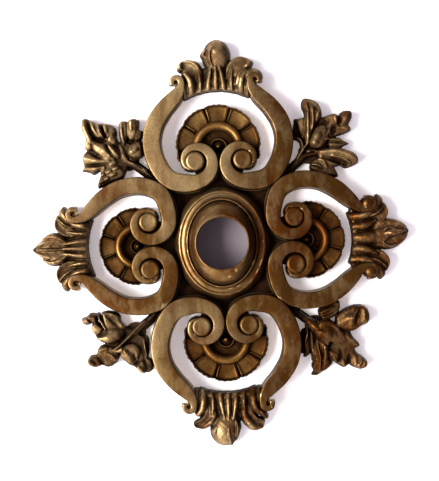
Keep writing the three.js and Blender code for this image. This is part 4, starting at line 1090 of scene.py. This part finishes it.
def stamp(top, u, v, kind, stations):
    """Works one lobe into a map of heights, in place."""
    outline = kind == "leaf"
    path = through(stations + stations[:1] if outline else stations, 5 if outline else 10)
    reach = 0 if outline else path[:, 2].max() / 2
    rows = np.flatnonzero((u > path[:, 0].min() - reach) & (u < path[:, 0].max() + reach))
    columns = np.flatnonzero((v > path[:, 1].min() - reach) & (v < path[:, 1].max() + reach))
    window = np.ix_(rows, columns)
    at = np.stack(np.meshgrid(u[rows], v[columns], indexing="ij"), -1)
    if outline:
        top[window] = np.maximum(top[window], leaf_surface(at, path))
        return
    nearest = np.full(at.shape[:2], np.inf)
    height = np.zeros(at.shape[:2])
    for start, end in zip(path, path[1:]):
        share, away = along_segment(at, start, end)
        half = np.maximum((start[2] + share * (end[2] - start[2])) / 2, 0.05)
        closer = away / half < nearest
        nearest = np.where(closer, away / half, nearest)
        height = np.where(closer, start[3] + share * (end[3] - start[3]), height)
    across = np.clip(nearest, 0, 1)
    soft = (1 - across**2) ** 2 * height * (top[window] > SEAT)
    if kind == "swell":
        top[window] += soft
    elif kind == "groove":
        worked = np.maximum(top[window] - soft, SEAT + LEAST_THICKNESS)
        top[window] = np.where(top[window] > SEAT, worked, top[window])
    elif kind == "cut":
        top[window] = np.where(nearest < 1, NOTHING, top[window])
    else:
        raised = np.where(nearest < 1, SEAT + height * SECTIONS[kind](across), NOTHING)
        top[window] = np.maximum(top[window], raised)


def along_segment(at, start, end):
    """How far along a segment each point falls, and how far away from it."""
    step = end[:2] - start[:2]
    share = np.clip(((at - start[:2]) @ step) / max(step @ step, 1e-9), 0, 1)
    return share, np.linalg.norm(at - start[:2] - share[..., None] * step, axis=-1)


def leaf_surface(at, path):
    """A leaf's top: heights spread in from its outline, and an edge that rounds over."""
    inside = np.zeros(at.shape[:2], bool)
    edge = np.full(at.shape[:2], np.inf)
    weights = np.zeros(at.shape[:2])
    heights = np.zeros(at.shape[:2])
    for start, end in zip(path, path[1:]):
        away = along_segment(at, start, end)[1]
        edge = np.minimum(edge, away / start[2])
        weight = 1 / (away**2 + 0.6)
        weights += weight
        heights += weight * start[3]
        if start[1] != end[1]:
            crosses = (at[..., 1] < start[1]) != (at[..., 1] < end[1])
            u_there = start[0] + (at[..., 1] - start[1]) * (end[0] - start[0]) / (end[1] - start[1])
            inside ^= crosses & (at[..., 0] < u_there)
    rounded = LEAF_EDGE + (1 - LEAF_EDGE) * np.sqrt(1 - (1 - np.clip(edge, 0, 1)) ** 2)
    return np.where(inside, SEAT + heights / weights * rounded, NOTHING)


def blurred(top):
    for axis in (0, 1):
        top = 0.25 * np.roll(top, 1, axis) + 0.5 * top + 0.25 * np.roll(top, -1, axis)
    return top


def relief(name, lobes, fuller, degrees=0, scale=1.0):
    """A casting with a flat back and a modelled front, its lobes as much wider as fuller says."""
    wider = {"leaf": 1, "cut": 1}
    lobes = [
        (kind, [(u * scale, v * scale, width * wider.get(kind, fuller), w) for u, v, width, w in each])
        for kind, each in lobes
    ]
    stations = np.array([station for _, each in lobes for station in each])
    low = stations[:, :2].min(0) - 4
    high = stations[:, :2].max(0) + 4
    u = np.arange(low[0], high[0], VOXEL)
    v = np.arange(low[1], high[1], VOXEL)
    w = np.arange(SEAT - 3 * VOXEL, SEAT + stations[:, 3].max() + 0.6, VOXEL)
    top = np.full((len(u), len(v)), NOTHING)
    for kind, each in lobes:
        stamp(top, u, v, kind, each)
    top = blurred(blurred(top))
    ripple = np.sin(1.9 * u)[:, None] * np.sin(2.3 * v + 0.7)[None, :]
    ripple += np.sin(3.7 * u + 1.1)[:, None] * np.sin(4.1 * v)[None, :] * 0.6
    top = top + UNEVEN * ripple
    slope_u, slope_v = np.gradient(top, VOXEL)
    steep = np.sqrt(1 + slope_u**2 + slope_v**2)
    field = (top[:, :, None] - w[None, None, :]) / steep[:, :, None]
    field = np.minimum(field, (w - SEAT)[None, None, :])
    volume = openvdb.FloatGrid(1.0)
    volume.copyFromArray(np.clip(-field, -1, 1).astype(np.float32))
    volume.transform = openvdb.createLinearTransform(voxelSize=VOXEL)
    points, quads = volume.convertToQuads(isovalue=0.0)
    plan = points + np.array([u[0], v[0], w[0]])
    made = new_object(name, turned_by(plan, degrees), quads.tolist())
    keep_largest(made)
    smooth(made, 60)
    return made


def keep_largest(obj):
    """Drops the crumbs that a thin edge leaves."""
    bm = bmesh.new()
    bm.from_mesh(obj.data)
    left, groups = set(bm.verts), []
    while left:
        group, edge = set(), [left.pop()]
        while edge:
            vertex = edge.pop()
            group.add(vertex)
            for link in vertex.link_edges:
                other = link.other_vert(vertex)
                if other in left:
                    left.discard(other)
                    edge.append(other)
        groups.append(group)
    largest = max(groups, key=len)
    bmesh.ops.delete(bm, geom=[vertex for group in groups if group is not largest for vertex in group])
    bm.to_mesh(obj.data)
    bm.free()


for arm_row in ARMS:
    name = f"palmette_{arm_row['name']}"
    made = relief(f"{name}_fine", PALMETTES[arm_row["name"]], PALMETTE_FULLER, arm_row["turn"])
    piece(made, [name], BRASS["leaf"])
for kind, castings, fuller in (("leaf_spray", SPRAYS, SPRAY_FULLER), ("bud", BUDS, BUD_FULLER)):
    for corner, lobes in castings.items():
        name = f"{kind}_{corner}"
        made = relief(f"{name}_fine", lobes, fuller, scale=SPRAY_SCALE)
        piece(made, [name], BRASS["leaf"])

# ---------------------------------------------------------------- CAD pieces kept as they are

for name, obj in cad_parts.items():
    if not obj.hide_render:
        kind = "rivet" if "rivet" in name else "back" if name == "back_plate" else "leaf"
        obj.data.materials.clear()
        obj.data.materials.append(BRASS[kind])

# ---------------------------------------------------------------- stage, lights and camera


def stage_material(name, colour, see_through_back=False, painted_fill_glow=0.0):
    material = bpy.data.materials.new(name)
    material.use_nodes = True
    tree = material.node_tree
    shader = tree.nodes["Principled BSDF"]
    shader.inputs["Base Color"].default_value = (*colour, 1)
    shader.inputs["Roughness"].default_value = 0.9
    shader.inputs["Specular IOR Level"].default_value = 0.1
    # the emission paints a faint warm light into the shadows on the stage
    shader.inputs["Emission Color"].default_value = (1.0, 0.86, 0.78, 1)
    shader.inputs["Emission Strength"].default_value = painted_fill_glow
    if see_through_back:
        mix = node(tree, "ShaderNodeMixShader")
        feed(tree, mix.inputs["Fac"], node(tree, "ShaderNodeNewGeometry").outputs["Backfacing"])
        feed(tree, mix.inputs[1], shader.outputs["BSDF"])
        feed(tree, mix.inputs[2], node(tree, "ShaderNodeBsdfTransparent").outputs["BSDF"])
        feed(tree, tree.nodes["Material Output"].inputs["Surface"], mix.outputs["Shader"])
    return material


def sheet_object(name, corners, material):
    mesh = bpy.data.meshes.new(name)
    mesh.from_pydata(corners, [], [tuple(range(len(corners)))])
    obj = bpy.data.objects.new(name, mesh)
    bpy.context.scene.collection.objects.link(obj)
    mesh.materials.append(material)
    return obj


WALL_GAP = 0.4 * MM
SHADE_RADIUS = 12 * MM
# the wall glows a little, which paints light into the shadows cast on it
wall = sheet_object(
    "wall",
    [(-2, WALL_GAP, -1.2), (2, WALL_GAP, -1.2), (2, WALL_GAP, 2), (-2, WALL_GAP, 2)],
    stage_material("wall_paint", (0.92, 0.91, 0.94), see_through_back=True, painted_fill_glow=0.2),
)
wall.visible_shadow = False
eighths = [math.pi * k / 4 for k in range(8)]
sheet_object(
    "shade_in_the_hole",
    [(SHADE_RADIUS * math.cos(a), WALL_GAP / 2, SHADE_RADIUS * math.sin(a)) for a in eighths],
    stage_material("shade_paint", (0.19, 0.165, 0.19), see_through_back=True),
)
sheet_object(
    "floor",
    [(-3, 3, -1.2), (-3, -3, -1.2), (3, -3, -1.2), (3, 3, -1.2)],
    stage_material("floor_paint", (0.85, 0.84, 0.82)),
)


def area_light(name, place, size, power, colour):
    data = bpy.data.lights.new(name, "AREA")
    data.shape = "RECTANGLE"
    data.size, data.size_y = size
    data.energy = power
    data.color = colour
    obj = bpy.data.objects.new(name, data)
    bpy.context.scene.collection.objects.link(obj)
    obj.location = place
    obj.rotation_euler = (-Vector(place)).to_track_quat("-Z", "Y").to_euler()


# place and size in metres, power in watts
area_light("window", (-0.94, -0.98, -0.14), (0.6, 0.8), 48, (1.0, 0.98, 0.95))
area_light("card", (-0.6, -1.05, 0.05), (0.9, 1.1), 2.5, (0.98, 0.98, 0.92))
area_light("fill", (0.9, -1.1, 0.1), (1.0, 1.0), 1.0, (1.0, 0.62, 0.36))
area_light("rear", (0.6, 1.2, 0.8), (1.0, 1.0), 12, (1.0, 0.98, 0.95))

world = bpy.data.worlds.new("room")
bpy.context.scene.world = world
world.use_nodes = True
background = world.node_tree.nodes["Background"]
background.inputs["Color"].default_value = (0.76, 0.72, 0.88, 1)
background.inputs["Strength"].default_value = 0.72

FRAME_WIDTH = 138.285 * MM  # what the picture's width spans at the scrolls
CAMERA_ROLL = 2.3  # degrees
CAMERA_AT = (-0.8 * MM, 0.8 * MM)  # right and up of the rosette's centre
LENS = 90
SENSOR = 36
camera_data = bpy.data.cameras.new("camera")
camera_data.sensor_fit = "HORIZONTAL"
camera_data.sensor_width = SENSOR
camera_data.lens = LENS
camera = bpy.data.objects.new("camera", camera_data)
bpy.context.scene.collection.objects.link(camera)
distance = FRAME_WIDTH * LENS / SENSOR + BAND_TOP * MM
camera.location = (CAMERA_AT[0], -distance, CAMERA_AT[1])
camera.rotation_euler = (math.pi / 2, math.radians(CAMERA_ROLL), 0)
bpy.context.scene.camera = camera
bpy.context.scene.view_settings.view_transform = "Standard"
